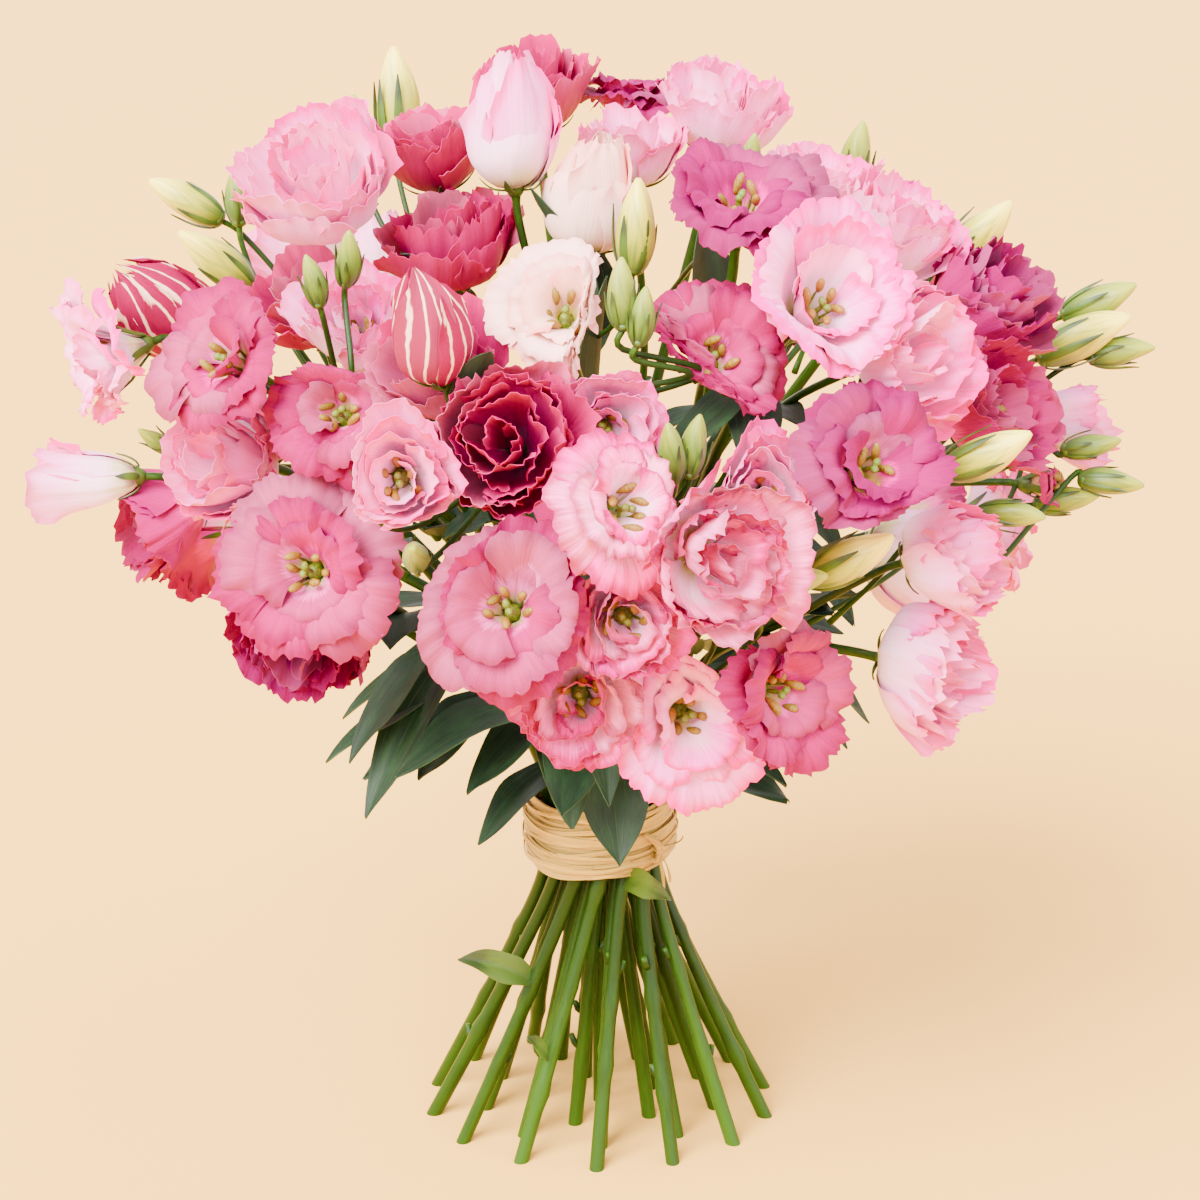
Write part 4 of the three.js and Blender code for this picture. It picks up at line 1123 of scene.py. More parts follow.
# %% [markdown]
# ## Petals
# A florist's lisianthus is double: three to six whorls of broad petals, each lapping over the
# next like a folded fan, with a frilled rim that rolls outwards as the flower ages. Every petal
# is laid out on its flower's section, widened from claw to rim, waved more and more towards the
# rim, and then pressed among its neighbours.

# %% Whorls of petals
# Each whorl is (petals, share of the rim's radius, share of its height).
WHORLS = {
    "open": [(5, 1, 1), (5, 0.8, 1.22), (3, 0.54, 1.2)],
    "bell": [(5, 1, 1), (4, 0.84, 0.98), (3, 0.58, 0.84)],
    "cup": [(5, 1, 1), (5, 0.82, 1.06), (4, 0.58, 1.08), (2, 0.34, 0.98)],
    "rose": [(5, 1, 0.94), (5, 0.84, 1.04), (4, 0.64, 1.1), (4, 0.45, 1.14), (3, 0.27, 1.1)],
    "tulip": [(3, 1, 0.84), (4, 0.86, 0.98), (4, 0.66, 1.06), (3, 0.42, 1.08)],
    "tube": [(5, 1, 1), (3, 0.7, 0.95)],
    "furled": [(5, 1, 1), (3, 0.6, 0.98)],
}
# How a kind's petals are waved, rolled out at the rim and twisted, in millimetres and radians.
MANNERS = {
    "open": {"wave": 2.8, "roll": 2.6, "twist": 0.1, "wide": 1.32, "notch": 0.2},
    "bell": {"wave": 1.9, "roll": 3.6, "twist": 0.1, "wide": 1.45, "notch": 0.16},
    "cup": {"wave": 2.2, "roll": 2.0, "twist": 0.15, "wide": 1.35, "notch": 0.2},
    "rose": {"wave": 2.5, "roll": 2.4, "twist": 0.2, "wide": 1.4, "notch": 0.2},
    "tulip": {"wave": 2.6, "roll": 3.2, "twist": 0.35, "wide": 1.5, "notch": 0.3},
    "tube": {"wave": 1.7, "roll": 4.0, "twist": 0.1, "wide": 1.3, "notch": 0.3},
    "furled": {"wave": 1.8, "roll": 3.0, "twist": 1.2, "wide": 1.35, "notch": 0.26},
}
ROWS = 14          # corners along a petal
CORNER = 1.5       # length of a petal's cells across it
OVERLAP = 1.3      # how far one edge of a petal lies out of its whorl, and the other in it
PETAL_THICK = 0.34
WHORL_TURN = 2.4   # radians between a whorl and the next


print("the fullest kind has", max(len(rows) for rows in WHORLS.values()), "whorls")

# %% One whorl of petals
def whorl(bloom, layer, count, rim, rise):
    """Middle surfaces of one whorl: (petals, rows, columns, 3).

    v runs from claw to rim and s from edge to edge. t is where a corner lies on the flower's
    section, and off is how far waves, roll and midrib move it away from there.
    """
    manner, outer = MANNERS[bloom.kind], np.array(KINDS[bloom.kind])
    lots = np.random.default_rng(1000 * bloom.number + layer)
    lot = lambda: lots.uniform(-1.0, 1.0, (count, 1, 1))

    def wavy(turns, vary=None):
        """Waves across each petal, perhaps some wider and some narrower."""
        stretched = turns * s if vary is None else turns * s * (1 + vary * lot())
        return np.sin(2 * math.pi * (stretched + lot()))

    width = bloom.width * FINE
    span = width * rim * 0.5 * math.pi / count * manner["wide"] * 2
    columns = 2 * int(np.clip(span / CORNER / 2, 5, 18)) + 1
    v = 1 - (1 - np.linspace(0, 1, ROWS)[None, :, None]) ** 1.25
    s = np.linspace(-1, 1, columns)[None, None, :]
    torn = 0.03 * wavy(1.6) + 0.022 * wavy(3.7)
    torn = torn + 0.018 * wavy(6.9)
    t = v * (1 + (0.09 * lot() - manner["notch"] * np.abs(s) ** 2.6 + torn) * v)
    t = np.clip(t, 0, 1.06)
    widest = math.pi / count * manner["wide"] * (1 + 0.1 * lot())
    turned = 2 * math.pi * np.arange(count)[:, None, None] / count
    angle = s * widest * (0.7 + 0.3 * v * v * (3 - 2 * v)) + turned
    angle = angle + WHORL_TURN * layer + 0.14 * lot() + manner["twist"] * t
    radius, height = bezier(outer, t)
    further, higher = bezier(outer, t + 0.01)
    slope = np.stack([further - radius, higher - height], axis=-1) * [rim, rise]
    slope /= np.linalg.norm(slope, axis=-1, keepdims=True)
    band = np.clip((v - 0.45) / 0.55, 0, 1) ** 1.4
    wave, tight = manner["wave"], (0.55 + 0.45 * rim) * width / 66
    off = OVERLAP * s * (0.25 + 0.75 * v)
    off = off + wave * tight * v ** 2 * np.sin(math.pi * (1.3 * s * (1 + 0.3 * lot()) + lot()))
    off = off + 0.36 * wave * tight * band * wavy(1.3, 0.3)
    off = off + 0.4 * wave * tight * band ** 2 * wavy(3.1, 0.25)
    off = off + 0.22 * wave * tight * band ** 3 * wavy(6.7)
    off = off - 0.06 * width * lot() * v
    roll = manner["roll"] * tight * (1 + 0.6 * lot()) * (0.7 + 0.3 * rim)
    lip = np.clip((v - 0.68) / 0.32, 0, 1) ** 2
    off = off - roll * lip * (1 + 0.5 * np.abs(s) ** 3)
    off = off - 0.9 * np.exp(-(s / 0.12) ** 2) * v * (1 - v) * 2
    rim, rise = rim * (1 + 0.09 * lot() * v), rise * (1 + 0.13 * lot() * v)
    radius = np.maximum(radius * width * rim - off * slope[..., 1], 0.4)
    height = height * width * rise + off * slope[..., 0] - 0.5 * roll * lip
    u, w = across_axis(bloom.axis, bloom.spin)
    return (bloom.base() + (radius * np.cos(angle))[..., None] * u
            + (radius * np.sin(angle))[..., None] * w + height[..., None] * bloom.axis)


def add_petals(piece, bloom):
    for layer, (count, rim, rise) in enumerate(WHORLS[bloom.kind]):
        sheets = pressed(bloom, whorl(bloom, layer, count, rim, rise))
        tones = np.random.default_rng(7 * bloom.number + layer).uniform(-1, 1, count)
        add_blades(piece, sheets, PETAL_THICK, petals[bloom.finish], tones)


for kind, rows in WHORLS.items():
    print(kind, "has", sum(count for count, rim, rise in rows), "petals in", len(rows), "whorls")

# %% [markdown]
# ## Greens, gold and straw
# Stems are smooth and a little waxy, darker where they are older, with pale cut ends that show
# the pith. Leaves are blue-green with a paler midrib and a matt bloom on their backs. Buds run
# from lime at the calyx to cream at the tip, or to the colour of the flower they will be.

# %% Plant finishes
def stem_material():
    paint = Paint("stem_green", 0.3, Subsurface_Weight=0.1, Subsurface_Scale=0.002,
                  Specular_IOR_Level=0.16)
    patches = paint.noise(4.0, 3.0, (1.0, 6.0, 1.0))
    ridges = paint.noise(1.0, 3.0, (24.0, 3.0, 1.0))
    colour = paint.ramp(paint.wavered(paint.length, patches, 0.5), (0.0, "#2C4C0A"),
                        (0.3, "#1E380B"), (0.7, "#1A340A"), (1.0, "#345410"))
    colour = paint.mixed(paint.scaled(ridges, 0.5), colour, "#141F08")
    return paint.finish(colour, ridges, 0.3, 0.0004, Value=(0.28, 1.02))


def leaf_material():
    paint = Paint("leaf_green", 0.5, Subsurface_Weight=0.05, Subsurface_Scale=0.002,
                  Specular_IOR_Level=0.22)
    patches, fine = paint.noise(5.0, 4.0), paint.noise(1.0, 3.0, (50.0, 9.0, 1.0))
    bent = paint.wavered(paint.edge(), patches, 0.1)
    veins = paint.maths("PINGPONG", paint.scaled(bent, 3.0), 0.5)
    lines = paint.ramp(veins, (0.0, WHITE), (0.05, BLACK))
    colour = paint.ramp(patches, (0.3, "#0A1A0C"), (0.5, "#122812"), (0.72, "#1C381B"))
    layers = ((fine, 0.35, "#263E2A"), (lines, 0.45, "#35542C"),
              (paint.attribute("back"), 0.45, "#2A4230"))
    for cover, share, code in layers:
        colour = paint.mixed(paint.scaled(cover, share), colour, code)
    relief = paint.scaled(lines, -1.0, paint.scaled(fine, 0.4))
    return paint.finish(colour, relief, 0.45, 0.0005, Value=(0.18, 1.0))


def bud_material(name, calyx, belly, tip):
    paint = Paint("bud_" + name, 0.45, Subsurface_Weight=0.25, Subsurface_Scale=0.004,
                  Sheen_Weight=0.1)
    streaks = paint.noise(1.0, 3.0, (18.0, 2.5, 1.0))
    height = paint.wavered(paint.length, streaks, 0.5)
    colour = paint.ramp(height, (0.08, calyx), (0.45, belly), (0.95, tip))
    folds = paint.scaled(paint.length, 1.3, paint.scaled(paint.side, 2.5))
    shade = paint.ramp(paint.maths("PINGPONG", folds, 0.5), (0.0, WHITE), (0.14, BLACK))
    colour = paint.mixed(paint.scaled(shade, 0.35), colour, calyx)
    return paint.finish(colour, streaks, 0.3, 0.0004)


def sepal_material():
    paint = Paint("sepal_green", 0.45, Subsurface_Weight=0.1, Subsurface_Scale=0.002)
    height = paint.scaled(paint.noise(6.0), 0.4, paint.length)
    colour = paint.ramp(height, (0.1, "#2C440E"), (0.7, "#425E10"), (1.0, "#22380E"))
    return paint.finish(colour, paint.noise(1.0, 3.0, (20.0, 4.0, 1.0)), 0.3, 0.0004)


def grain_material(name, roughness, low, high, scale, strength, **sockets):
    """A fine-grained material that wavers between two colours."""
    paint = Paint(name, roughness, **sockets)
    grain = paint.noise(scale, 4.0)
    return paint.finish(paint.ramp(grain, (0.35, low), (0.65, high)), grain, strength, 0.0004)


def raffia_material():
    paint = Paint("raffia_straw", 0.62, Sheen_Weight=0.1, Specular_IOR_Level=0.35)
    fibres_shade_and_highlight = paint.noise(1.0, 5.0, (34.0, 6.0, 1.0))
    patches = paint.noise(1.0, 3.0, (3.0, 14.0, 1.0))
    # The fibre streaks run from painted shade between the fibres, through the straw's own tone, to a
    # painted highlight along them; the same streaks give the relief.
    colour = paint.ramp(fibres_shade_and_highlight, (0.28, "#3C2810"), (0.42, "#A07C28"), (0.62, "#DCAE40"))
    colour = paint.mixed(paint.scaled(patches, 0.5), colour, "#CC9E34")
    return paint.finish(colour, fibres_shade_and_highlight, 0.7, 0.0006, Value=(0.12, 0.98))


GREEN, LEAF, SEPAL = stem_material(), leaf_material(), sepal_material()
PITH = grain_material("cut_end", 0.7, "#4C5C14", "#8E9038", 9.0, 0.5)
ANTHER = grain_material("anther_gold", 0.6, "#6C4E00", "#927000", 12.0, 0.6, Subsurface_Weight=0.1)
PISTIL = grain_material("pistil_green", 0.5, "#3E560A", "#727C0A", 8.0, 0.4)
STRAW = raffia_material()
BUDS = {
    "green": bud_material("green", "#364E0A", "#56700A", "#8A9410"),
    "lime": bud_material("lime", "#3E5A0A", "#6C7A06", "#98A010"),
    "cream": bud_material("cream", "#5A700A", "#AAA60C", "#F2DE48"),
}
print("plant finishes", [m.name for m in (GREEN, LEAF, SEPAL, PITH, ANTHER, PISTIL, STRAW)])

# %% [markdown]
# ## Hearts
# Inside an open bloom six stamens stand round a green ovary. Their curved golden anthers are
# the only yellow in the bouquet, and the forked stigma stands over them.

# %% Stamens and pistil
HEARTY = {"open": 0.25, "bell": 0.26, "cup": 0.26}  # height of the stigma, in shares of the width
STAMENS = 6


def lobe(piece, start, end, radius, material, bow=(0, 0, 0), tone=0.0):
    """A plump little tube with rounded ends, bowed sideways."""
    share = np.linspace(0, 1, 8)[:, None]
    path = start + (end - start) * share + np.array(bow) * np.sin(math.pi * share)
    radii = radius * np.sin(math.pi * np.linspace(0.06, 0.94, 8)) ** 0.6
    add_tube(piece, tube_rings(path, radii, 7), material, tone)


def add_heart(piece, bloom):
    if bloom.kind not in HEARTY:
        return
    lots = np.random.default_rng(500 + bloom.number)
    u, w = across_axis(bloom.axis, bloom.spin)
    spot = lambda r, angle, z: pressed(bloom, bloom.base() + r * spoke(u, w, angle) + z * bloom.axis)
    top = HEARTY[bloom.kind] * bloom.width
    lobe(piece, spot(0, 0, 2), spot(0, 0, 0.55 * top), 3.4, PISTIL)
    lobe(piece, spot(0, 0, 0.5 * top), spot(0, 0, 0.95 * top), 0.9, PISTIL)
    for fork_side in (-1, 1):
        lobe(piece, spot(0.4, 0, 0.93 * top), spot(2.6 * fork_side, 0.3, 1.06 * top), 1.5, PISTIL)
    for i in range(STAMENS):
        angle = 2 * math.pi * i / STAMENS + lots.uniform(-0.3, 0.3)
        out, high = lots.uniform(4.6, 7.0), top * lots.uniform(0.72, 1.0)
        foot, head = spot(2.6, angle, 1.5), spot(out, angle, high)
        lobe(piece, foot, head, 0.55, PISTIL, -0.8 * bloom.axis)
        tilt = lots.uniform(-1.6, 1.6)
        tip = spot(out + lots.uniform(1.0, 3.0), angle + 0.3 * tilt, high + lots.uniform(3.0, 5.0))
        base = head - 0.55 * (tip - head)
        lobe(piece, base, tip, 1.6, ANTHER, lots.uniform(0.4, 1.3) * bloom.axis, lots.uniform(-1, 1))


print(sum(bloom.kind in HEARTY for bloom in blooms), "flowers show their stamens")


faces = 0
for stem in stems:
    piece = Piece()
    for bloom in stem.blooms:
        add_petals(piece, bloom)
        add_heart(piece, bloom)
    node = "blooms_" + stem.label
    piece.build("petals_" + stem.label, [node])
    faces += len(piece.faces)
print(faces, "faces of petals and hearts")

# %% [markdown]
# ## Calyx and buds
# Below each flower sits a small green cup with five narrow pointed sepals that hug the petals.
# A bud is the same flower still furled: its petals wrap round each other in a twist.

# %% Calyx and sepals
SEPALS = 5


def blade_along(path, out, width, hollow=0.0):
    """A narrow pointed blade along a path whose outer side faces out, (rows, columns, 3)."""
    share = np.linspace(0, 1, len(path))
    out = np.broadcast_to(out, path.shape)
    side = np.cross(out, np.gradient(path, axis=0))
    side /= np.linalg.norm(side, axis=1, keepdims=True)
    across = np.linspace(-0.5, 0.5, 5)
    half = width * np.sin(math.pi * np.clip(0.18 + 0.82 * share, 0, 0.985)) ** 0.8
    lift = -hollow * (2 * across) ** 2
    spread = side[:, None] * (half[:, None] * across)[..., None]
    return path[:, None] + spread + out[:, None] * lift[:, None]


def add_calyx(piece, bloom):
    """The green cup under a bloom, and its sepals, which hug the outer petals."""
    foot = bloom.base()
    share = np.linspace(0, 1, 6)[:, None]
    cup = foot + bloom.axis * (-3.2 + 5.4 * share)
    bulge = 2.0 + 2.1 * np.sin(math.pi * 0.5 * share[:, 0]) ** 0.8
    add_tube(piece, tube_rings(cup, bulge, 12), SEPAL)
    u, w = across_axis(bloom.axis, bloom.spin)
    longest = min(0.52, 19 / bloom.depth * 0.6)
    t = np.linspace(0.0, longest, 9)
    radius, height = bezier(KINDS[bloom.kind], t)
    radius = radius * bloom.width * FINE + 0.9 + 0.4 * np.sin(math.pi * t / longest)
    high = height * bloom.width * FINE * WHORLS[bloom.kind][0][2] - 0.8
    sheets = []
    for i in range(SEPALS):
        out = spoke(u, w, 2 * math.pi * (i + 0.5) / SEPALS + 0.2 * draw(bloom.number, 20 + i))
        path = pressed(bloom, foot + radius[:, None] * out + high[:, None] * bloom.axis)
        sheets.append(blade_along(path, unit(out - 0.4 * bloom.axis), 3.0))
    add_blades(piece, np.array(sheets), 0.7, SEPAL)


print(SEPALS * len(blooms), "sepals round flowers")

# %% [markdown]
# A bud is drawn as one tube with three shallow folds that turn as they rise, so that it reads as
# petals wrapped round each other. Short ones are green, longer ones have turned lime or cream.

# %% Buds
GREEN_UNDER, LIME_UNDER = 23, 31  # buds shorter than this are green, or lime


def add_bud(piece, bud, number):
    """A furled bud: petals that wrap round each other, in their sepals, on a small green cup."""
    length, radius, axis = bud["length"], bud["radius"], bud["axis"]
    foot = bud["middle"] - axis * length / 2
    share = np.linspace(0, 1, 16)
    bow = across_axis(axis, 3.0 * draw(number, 4))[0] * 0.03 * length
    path = foot + axis * (length * share)[:, None] + bow * np.sin(math.pi * share)[:, None]
    plump = np.sin(math.pi * np.clip(0.12 + 0.86 * share ** 0.85, 0, 0.995)) ** 0.75
    profile = radius * (1.02 * plump)
    twist = lambda turn, t: (1 + 0.09 * t * np.cos(3 * turn + 5.5 * t + number)
                             + 0.02 * np.cos(7 * turn + 3 * t))
    finish = "green" if length < GREEN_UNDER else "lime" if length < LIME_UNDER else "cream"
    add_tube(piece, tube_rings(path, profile, 22, twist), BUDS[finish], draw(number, 5))
    u, w = across_axis(axis, number)
    sheets = []
    for i in range(SEPALS):
        out = spoke(u, w, 2 * math.pi * i / SEPALS + 0.25 * draw(number, i))
        t = np.linspace(0, 0.62 + 0.12 * draw(number, 30 + i), 9)
        hug = np.interp(t, share, profile) + 0.5 + 0.5 * t + 2.2 * (t / 0.7) ** 4
        path = foot + out * hug[:, None] + axis * (length * t)[:, None]
        sheets.append(blade_along(path, out, 0.13 * length ** 0.9, 0.3))
    add_blades(piece, np.array(sheets), 0.6, SEPAL)
    lobe(piece, foot - 1.5 * axis, foot + 2.6 * axis, 0.5 * radius + 0.9, SEPAL)


print(SEPALS * sum(len(s.buds) for s in stems), "sepals round buds")

# %% [markdown]
# ## Stems and leaves
# Each stem is one smooth tube from its pale cut end to its first flower. Slight swellings mark
# the nodes where its lower leaves were stripped, and some keep the stub of a side shoot.

# %% Stems
STEM_SIDES = 14
LOW_RISES = (-WAIST_HEIGHT, -92, -56, -NECK_LENGTH)  # where the cut stem is drawn through
# Radii at shares of the length.
STEM_RADII = (0, 0.35, 0.5, 0.8, 0.97, 1), (2.9, 2.75, 2.6, 2.1, 1.8, 2.4)
BRANCH_RADII = (0, 0.1, 0.9, 1), (1.9, 1.6, 1.5, 2.2)
STALK_RADII = (0, 0.1, 1), (1.4, 1.05, 1.2)
NODES_AT, STUBS_AT = (0.1, 0.24, 0.41), (0.11, 0.25)
SWELLING, SWOLLEN = 0.8, 0.008  # how much a node is thicker, and over which share of the length


def level_start(rings, heading):
    """Cuts the first ring level, so that the stem stands flat on the table."""
    rings[0] -= (rings[0][:, 2] / heading[2])[:, None] * heading
    return rings


def tapered(path, profile):
    """The radii of a profile at each point of a path."""
    return np.interp(np.linspace(0, 1, len(path)), *profile)


def add_stem(piece, stem):
    low = [waist_point(stem, rise) for rise in LOW_RISES]
    path = smooth_path(low + list(stem.line.points), 6)
    share, radii = np.linspace(0, 1, len(path)), tapered(path, STEM_RADII)
    for place in NODES_AT:
        place = place + 0.04 * draw(stem.number, int(100 * place))
        radii = radii + SWELLING * np.exp(-((share - place) / SWOLLEN) ** 2)
    oval = lambda turn, t: 1 + 0.05 * np.cos(2 * turn + 9 * t + stem.number)
    rings = level_start(tube_rings(path, radii, STEM_SIDES, oval), unit(path[1] - path[0]))
    add_tube(piece, rings, GREEN, draw(stem.number, 6), PITH)
    for i, place in enumerate(STUBS_AT):
        if draw(stem.number, 40 + i) < -0.1:
            continue
        k = int(place * (len(path) - 1))
        out = across_axis(unit(path[k + 1] - path[k]), 3.1 * draw(stem.number, 50 + i))[0]
        root = path[k] + out * radii[k] * 0.5
        stub = np.array([root, root + 2.4 * out + 2.0 * UP, root + 3.6 * out + 5.4 * UP])
        add_tube(piece, tube_rings(stub, (1.7, 1.5, 1.2), 8), GREEN, draw(stem.number, 7))


def add_side_stems(piece, stem):
    """The side branches of a stem, and the stalks with their buds."""
    for line in stem.branches:
        path = smooth_path(line.points)
        add_tube(piece, tube_rings(path, tapered(path, BRANCH_RADII), 10), GREEN, draw(stem.number, 8))
    for i, line in enumerate(stem.stalks):
        path = smooth_path(line.points)
        add_tube(piece, tube_rings(path, tapered(path, STALK_RADII), 8), GREEN, draw(stem.number, 9 + i))
        add_bud(piece, stem.buds[i], 9 * stem.number + i)


print("stems", 2 * STEM_RADII[1][0], "mm thick at the cut,", 2 * STEM_RADII[1][4], "under the flower")

# %% [markdown]
# ## Leaves on the stems
# A leaf is broadest at two fifths of its length and ends in a fine point. Its halves fold up a
# little along the midrib, and its edge waves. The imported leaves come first, then those that the
# photograph shows: each is placed by where the viewer sees its root and its tip, and grows from
# the stem that passes nearest to that root.

# %% The shape of a leaf
LEAF_ROWS, LEAF_COLUMNS, LEAF_THICK = 16, 9, 0.7
TIE_ROOM, SHORTER = 30, 0.6  # a packed leaf that would hang this near over the tie is shorter


def leaf_sheet(plan, number):
    """The middle surface of a leaf."""
    share = np.linspace(0, 1, LEAF_ROWS)[:, None]
    side = np.linspace(-1, 1, LEAF_COLUMNS)[None, :]
    across = 0.5 * np.sin(math.pi * (0.04 + 0.95 * share) ** 0.82) ** 0.85 * side
    sheet = leaf_points(plan, np.broadcast_to(share, across.shape), across)
    wave = 0.05 * plan[3] * np.sin(2 * math.pi * (1.6 * share + draw(number, 3))) * side ** 2
    return sheet + wave[..., None] * UP


def add_leaf(piece, plan, number):
    """A leaf and its stalk. The rolled young ones low on a stem are as light as sepals."""
    young = len(plan) > 4
    sheets = leaf_sheet(plan, number)[None]
    add_blades(piece, sheets, LEAF_THICK, SEPAL if young else LEAF, draw(number, 12))
    stalk = leaf_points(plan, np.array([-0.03, 0.01, 0.05]), np.zeros(3)) + 0.1 * UP
    add_tube(piece, tube_rings(stalk, (1.2, 1.0, 0.5), 8), GREEN)


print("a leaf has", LEAF_ROWS * LEAF_COLUMNS, "corners on each side")

# %% Leaves that the photograph shows
# Leaves seen in the view: where they spring from and where they point to, as (across, up), their
# width, how far before the axis they grow from and how far before it they end.
SEEN_LEAVES = [
    (-62, -36, -88, -79, 24, 50, 66), (-60, -48, -106, -64, 19, 40, 60), (-40, -62, -94, -71, 28, 40, 58),
    (-20, -50, -50, -76, 25, 45, 66), (4, -62, 7, -99, 29, 40, 54), (22, -92, 80, -79, 38, 34, 70),
    (80, -40, 103, -46, 17, 60, 70), (62, -22, 98, -2, 30, 50, 76), (-66, -14, -84, -20, 24, 70, 92),
    (-30, -72, -46, -96, 19, 30, 50), (-26, -48, -12, -84, 24, 46, 60), (70, -14, 108, 6, 26, 40, 84),
    (40, 66, 62, 46, 20, 90, 120), (30, 78, 24, 46, 18, 90, 124), (-56, 76, -42, 108, 15, 110, 152),
    (-34, 110, -33, 180, 30, 40, 50), (34, 100, 40, 172, 25, 40, 50), (-58, 96, -84, 146, 25, 40, 50),
    (4, 80, 4, 146, 26, 50, 60), (46, 60, 84, 70, 24, 70, 84), (-44, 40, -62, 24, 22, 90, 104),
    (-20, 110, -12, 166, 26, 10, 14), (60, 60, 92, 20, 24, 60, 80), (-76, 70, -84, 32, 22, 60, 80),
]
# Small leaves left low on the stems, under the tie.
LOW_LEAVES = [
    (-34, -158, -61, -141, 13, 40, 46), (12, -106, 30, -120, 11, 56, 64),
    (-24, -182, -31, -172, 7, 40, 48),
]
YOUNG_ROLL = 1.1  # radians that they are rolled over


def spot_in_view(across, up, ahead):
    """The point that the viewer sees at (across, up), this far before the axis."""
    ray = unit(LOOK_AT + across * RIGHT + up * ACROSS_VIEW_UP - EYE)
    return EYE + ray * ((-ahead - EYE[1]) / ray[1])


def nearest_stem(place):
    """The main stem that passes nearest to a place, and the point of it."""
    spots = nearest(np.array([stem.line.points for stem in stems]), place)
    number = int(np.linalg.norm(spots - place, axis=1).argmin())
    return stems[number], spots[number]


def nearest_foot(place):
    """The main stem that passes nearest to a place under the tie, and the point of it."""
    spots = [(stem, waist_point(stem, rise)) for stem in stems for rise in range(-120, -16, 4)]
    return min(spots, key=lambda spot: np.linalg.norm(spot[1] - place))


def add_seen_leaf(row, nearest_to=nearest_stem, *roll):
    """Adds the plan of a leaf that is seen in the view to the stem it grows from."""
    across, up, tip_across, tip_up, width, ahead, tip_ahead = row
    stem, root = nearest_to(spot_in_view(across, up, ahead))
    tip = spot_in_view(tip_across, tip_up, tip_ahead)
    length = np.linalg.norm(tip - root)
    heading = unit(tip - root + UP * LEAF_DROOP * length)
    stem.leaves.append((root, heading, length, width, *roll))


def off_the_tie(plan):
    """The plan of a packed leaf, shorter where its tip would hang over the tie."""
    root, heading, length, width = plan
    low_tip = leaf_points(plan, 1.0, 0.0)[..., 2].min() < WAIST_HEIGHT + TIE_ROOM
    return root, heading, length * (SHORTER if low_tip else 1.0), width


for stem in stems:
    stem.leaves = [off_the_tie(plan) for plan in stem.leaves]
for row in SEEN_LEAVES:
    add_seen_leaf(row)
for row in LOW_LEAVES:
    add_seen_leaf(row, nearest_foot, math.copysign(YOUNG_ROLL, row[2] - row[0]))
print(sum(len(s.leaves) for s in stems), "leaves")

# %% Each stem with all that grows on it
for stem in stems:
    piece = Piece()
    add_stem(piece, stem)
    add_side_stems(piece, stem)
    for i, plan in enumerate(stem.leaves):
        add_leaf(piece, plan, 10 * stem.number + i)
    for bloom in stem.blooms:
        add_calyx(piece, bloom)
    piece.build(f"stem_{stem.label}_grown", ["stem_" + stem.label])
print("stem", stems[-1].label, "has", len(piece.faces), "faces")

# %% [markdown]
# ## The tie
# Raffia is a flat straw-like fibre that frays and curls along its length. A closed layer of
# broad turns hides the stems, two dozen narrower strands are wound over it at slightly different
# slants, and three tails hang from the knot.

# %% Raffia
STEM_RADIUS = STEM_RADII[1][0]
CORE_TURNS, LOOSE_TURNS, ROUND = 12, 24, 90  # turns of each layer, and corners round the waist
# Each tail is (how far it stands off, how far it hangs, width).
TAILS = ((9, -13, 3.0), (5, -20, 2.4), (12, 6, 2.2))


def waist_reach():
    """How far the middles of the outer stems lie from the axis at the neck."""
    ring = RINGS[3]
    out, deep = (math.hypot(ring["radius"], ring["lean"] * NECK_LENGTH * s) for s in (1, FOOT_DEPTH))
    turn = SPIRAL * math.atan2(ring["lean"] * NECK_LENGTH, ring["radius"])
    return math.hypot(out * math.cos(turn), deep * math.sin(turn))


RAFFIA_CORE = waist_reach() + STEM_RADIUS + 1.2 + 1.6  # over a gap and half a turn's thickness


def strand(number, height, slant, out, width, start=0.0, turns=1.0):
    """The middle surface of one flat strand wound round the waist."""
    angle = start + np.linspace(0, 2 * math.pi * turns, int(ROUND * turns))
    lots = np.random.default_rng(300 + number)
    lot = lambda: lots.uniform(0, 6)
    wander = 0.8 * np.sin(angle * 2 + lot()) + 0.5 * np.sin(angle * 5 + lot())
    rise = height + slant * np.sin(angle + lot()) + wander
    rise = rise + 1.6 * np.sin(angle + 1)
    radius = RAFFIA_CORE + out + 0.35 * np.sin(3 * angle + lot())
    across = np.linspace(-0.5, 0.5, 5)[None, :]
    width = width * (1 + 0.22 * np.sin(angle * 1.7 + lot()))[:, None]
    curl = 0.5 * (2 * across) ** 2 * np.sin(angle * 1.3 + lot())[:, None]
    r = radius[:, None] - curl
    z = WAIST_HEIGHT + rise[:, None] + across * width
    return np.stack([r * np.cos(angle)[:, None], r * np.sin(angle)[:, None], z], axis=-1)


print("one turn is", round(2 * math.pi * RAFFIA_CORE), "mm long")

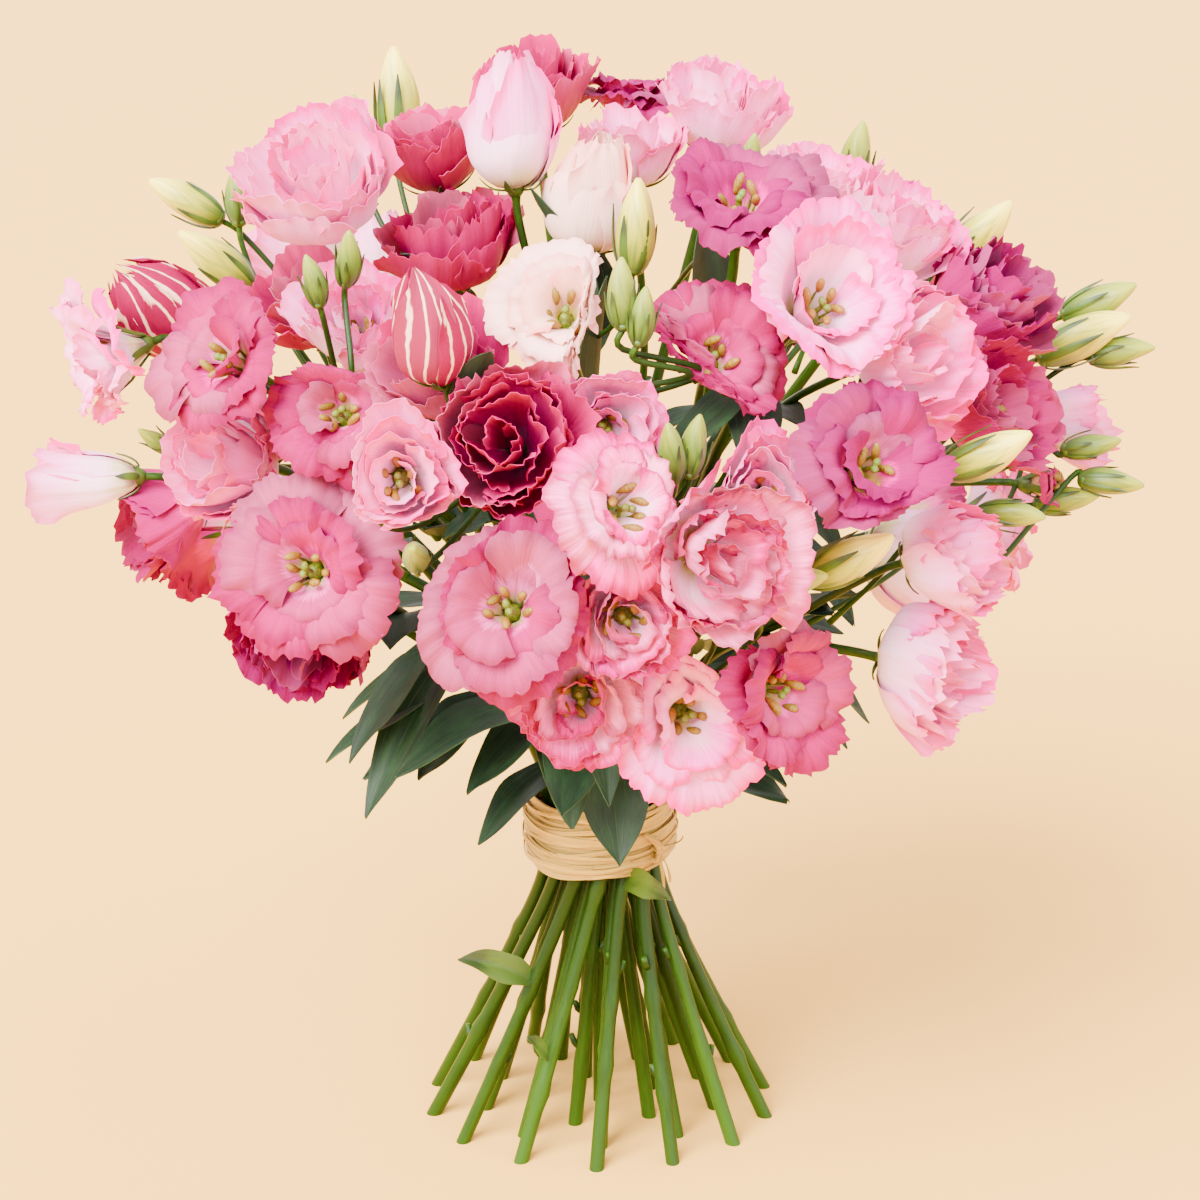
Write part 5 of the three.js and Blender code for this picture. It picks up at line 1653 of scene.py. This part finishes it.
# %% The tie, wound and knotted
def add_turns(piece):
    """The closed layer of broad turns, and the narrower strands wound over it."""
    half = WAIST_BAND / 2
    for k in range(CORE_TURNS):
        rise = -half + 2.2 + (WAIST_BAND - 4.4) * k / (CORE_TURNS - 1)
        sheet = strand(k, rise, 0.6, -0.4, 4.2, 0.4 * k)
        sheet[-1] = sheet[0]
        add_blades(piece, sheet[None], 1.3, STRAW, draw(k, 70))
    for k in range(LOOSE_TURNS):
        rise = (half - 3.2) * (2 * k / (LOOSE_TURNS - 1) - 1) + 1.5 * draw(k, 71)
        slant, width = 1.8 + 1.6 * draw(k, 72), 2.0 + 0.6 * draw(k, 73)
        out = 0.6 + 0.6 * (k * 5 % 4)
        sheet = strand(40 + k, rise, slant, out, width, 3 * draw(k, 74), 1.0 + 0.1 * draw(k, 75))
        add_blades(piece, sheet[None], 0.5, STRAW, 1.6 * draw(k, 76))


def add_knot(piece, knot):
    """Three tails that hang from the knot, and the three loops of the knot over them."""
    for k, (run, drop, width) in enumerate(TAILS):
        t = np.linspace(0, 1, 24)[:, None]
        out = unit(np.array([1.0, -0.9 + 0.3 * k, 0]))
        path = knot + out * (1 + run * np.sin(math.pi * 0.5 * t)) + UP * (drop * t ** 1.4)
        side = np.cross(out, UP) * np.cos(2.2 * t + k) + out * np.sin(2.2 * t + k) * 0.6
        across = np.linspace(-0.5, 0.5, 5)[None, :, None]
        sheet = path[:, None] + side[:, None] * across * width * (1 - 0.5 * t[:, None])
        add_blades(piece, sheet[None], 0.5, STRAW, draw(k, 77))
    lean, turn = unit(np.array([1.0, -1.0, 0])), np.linspace(0, 2 * math.pi, 30)[:, None]
    for k in range(3):
        centre = knot + lean * 1.2 + UP * (2 * k - 2)
        upward = UP + 0.5 * k * np.cross(lean, UP)
        ring = centre + lean * 3.2 * np.cos(turn) + upward * 4.2 * np.sin(turn)
        add_tube(piece, tube_rings(ring, 1.1, 8), STRAW, draw(k, 78))


piece = Piece()
add_turns(piece)
add_knot(piece, np.array([RAFFIA_CORE * 0.72, -RAFFIA_CORE * 0.74, WAIST_HEIGHT - 3]))
piece.build("raffia_strands", ["raffia_tie"])
print("raffia wound at radius", round(RAFFIA_CORE, 1))
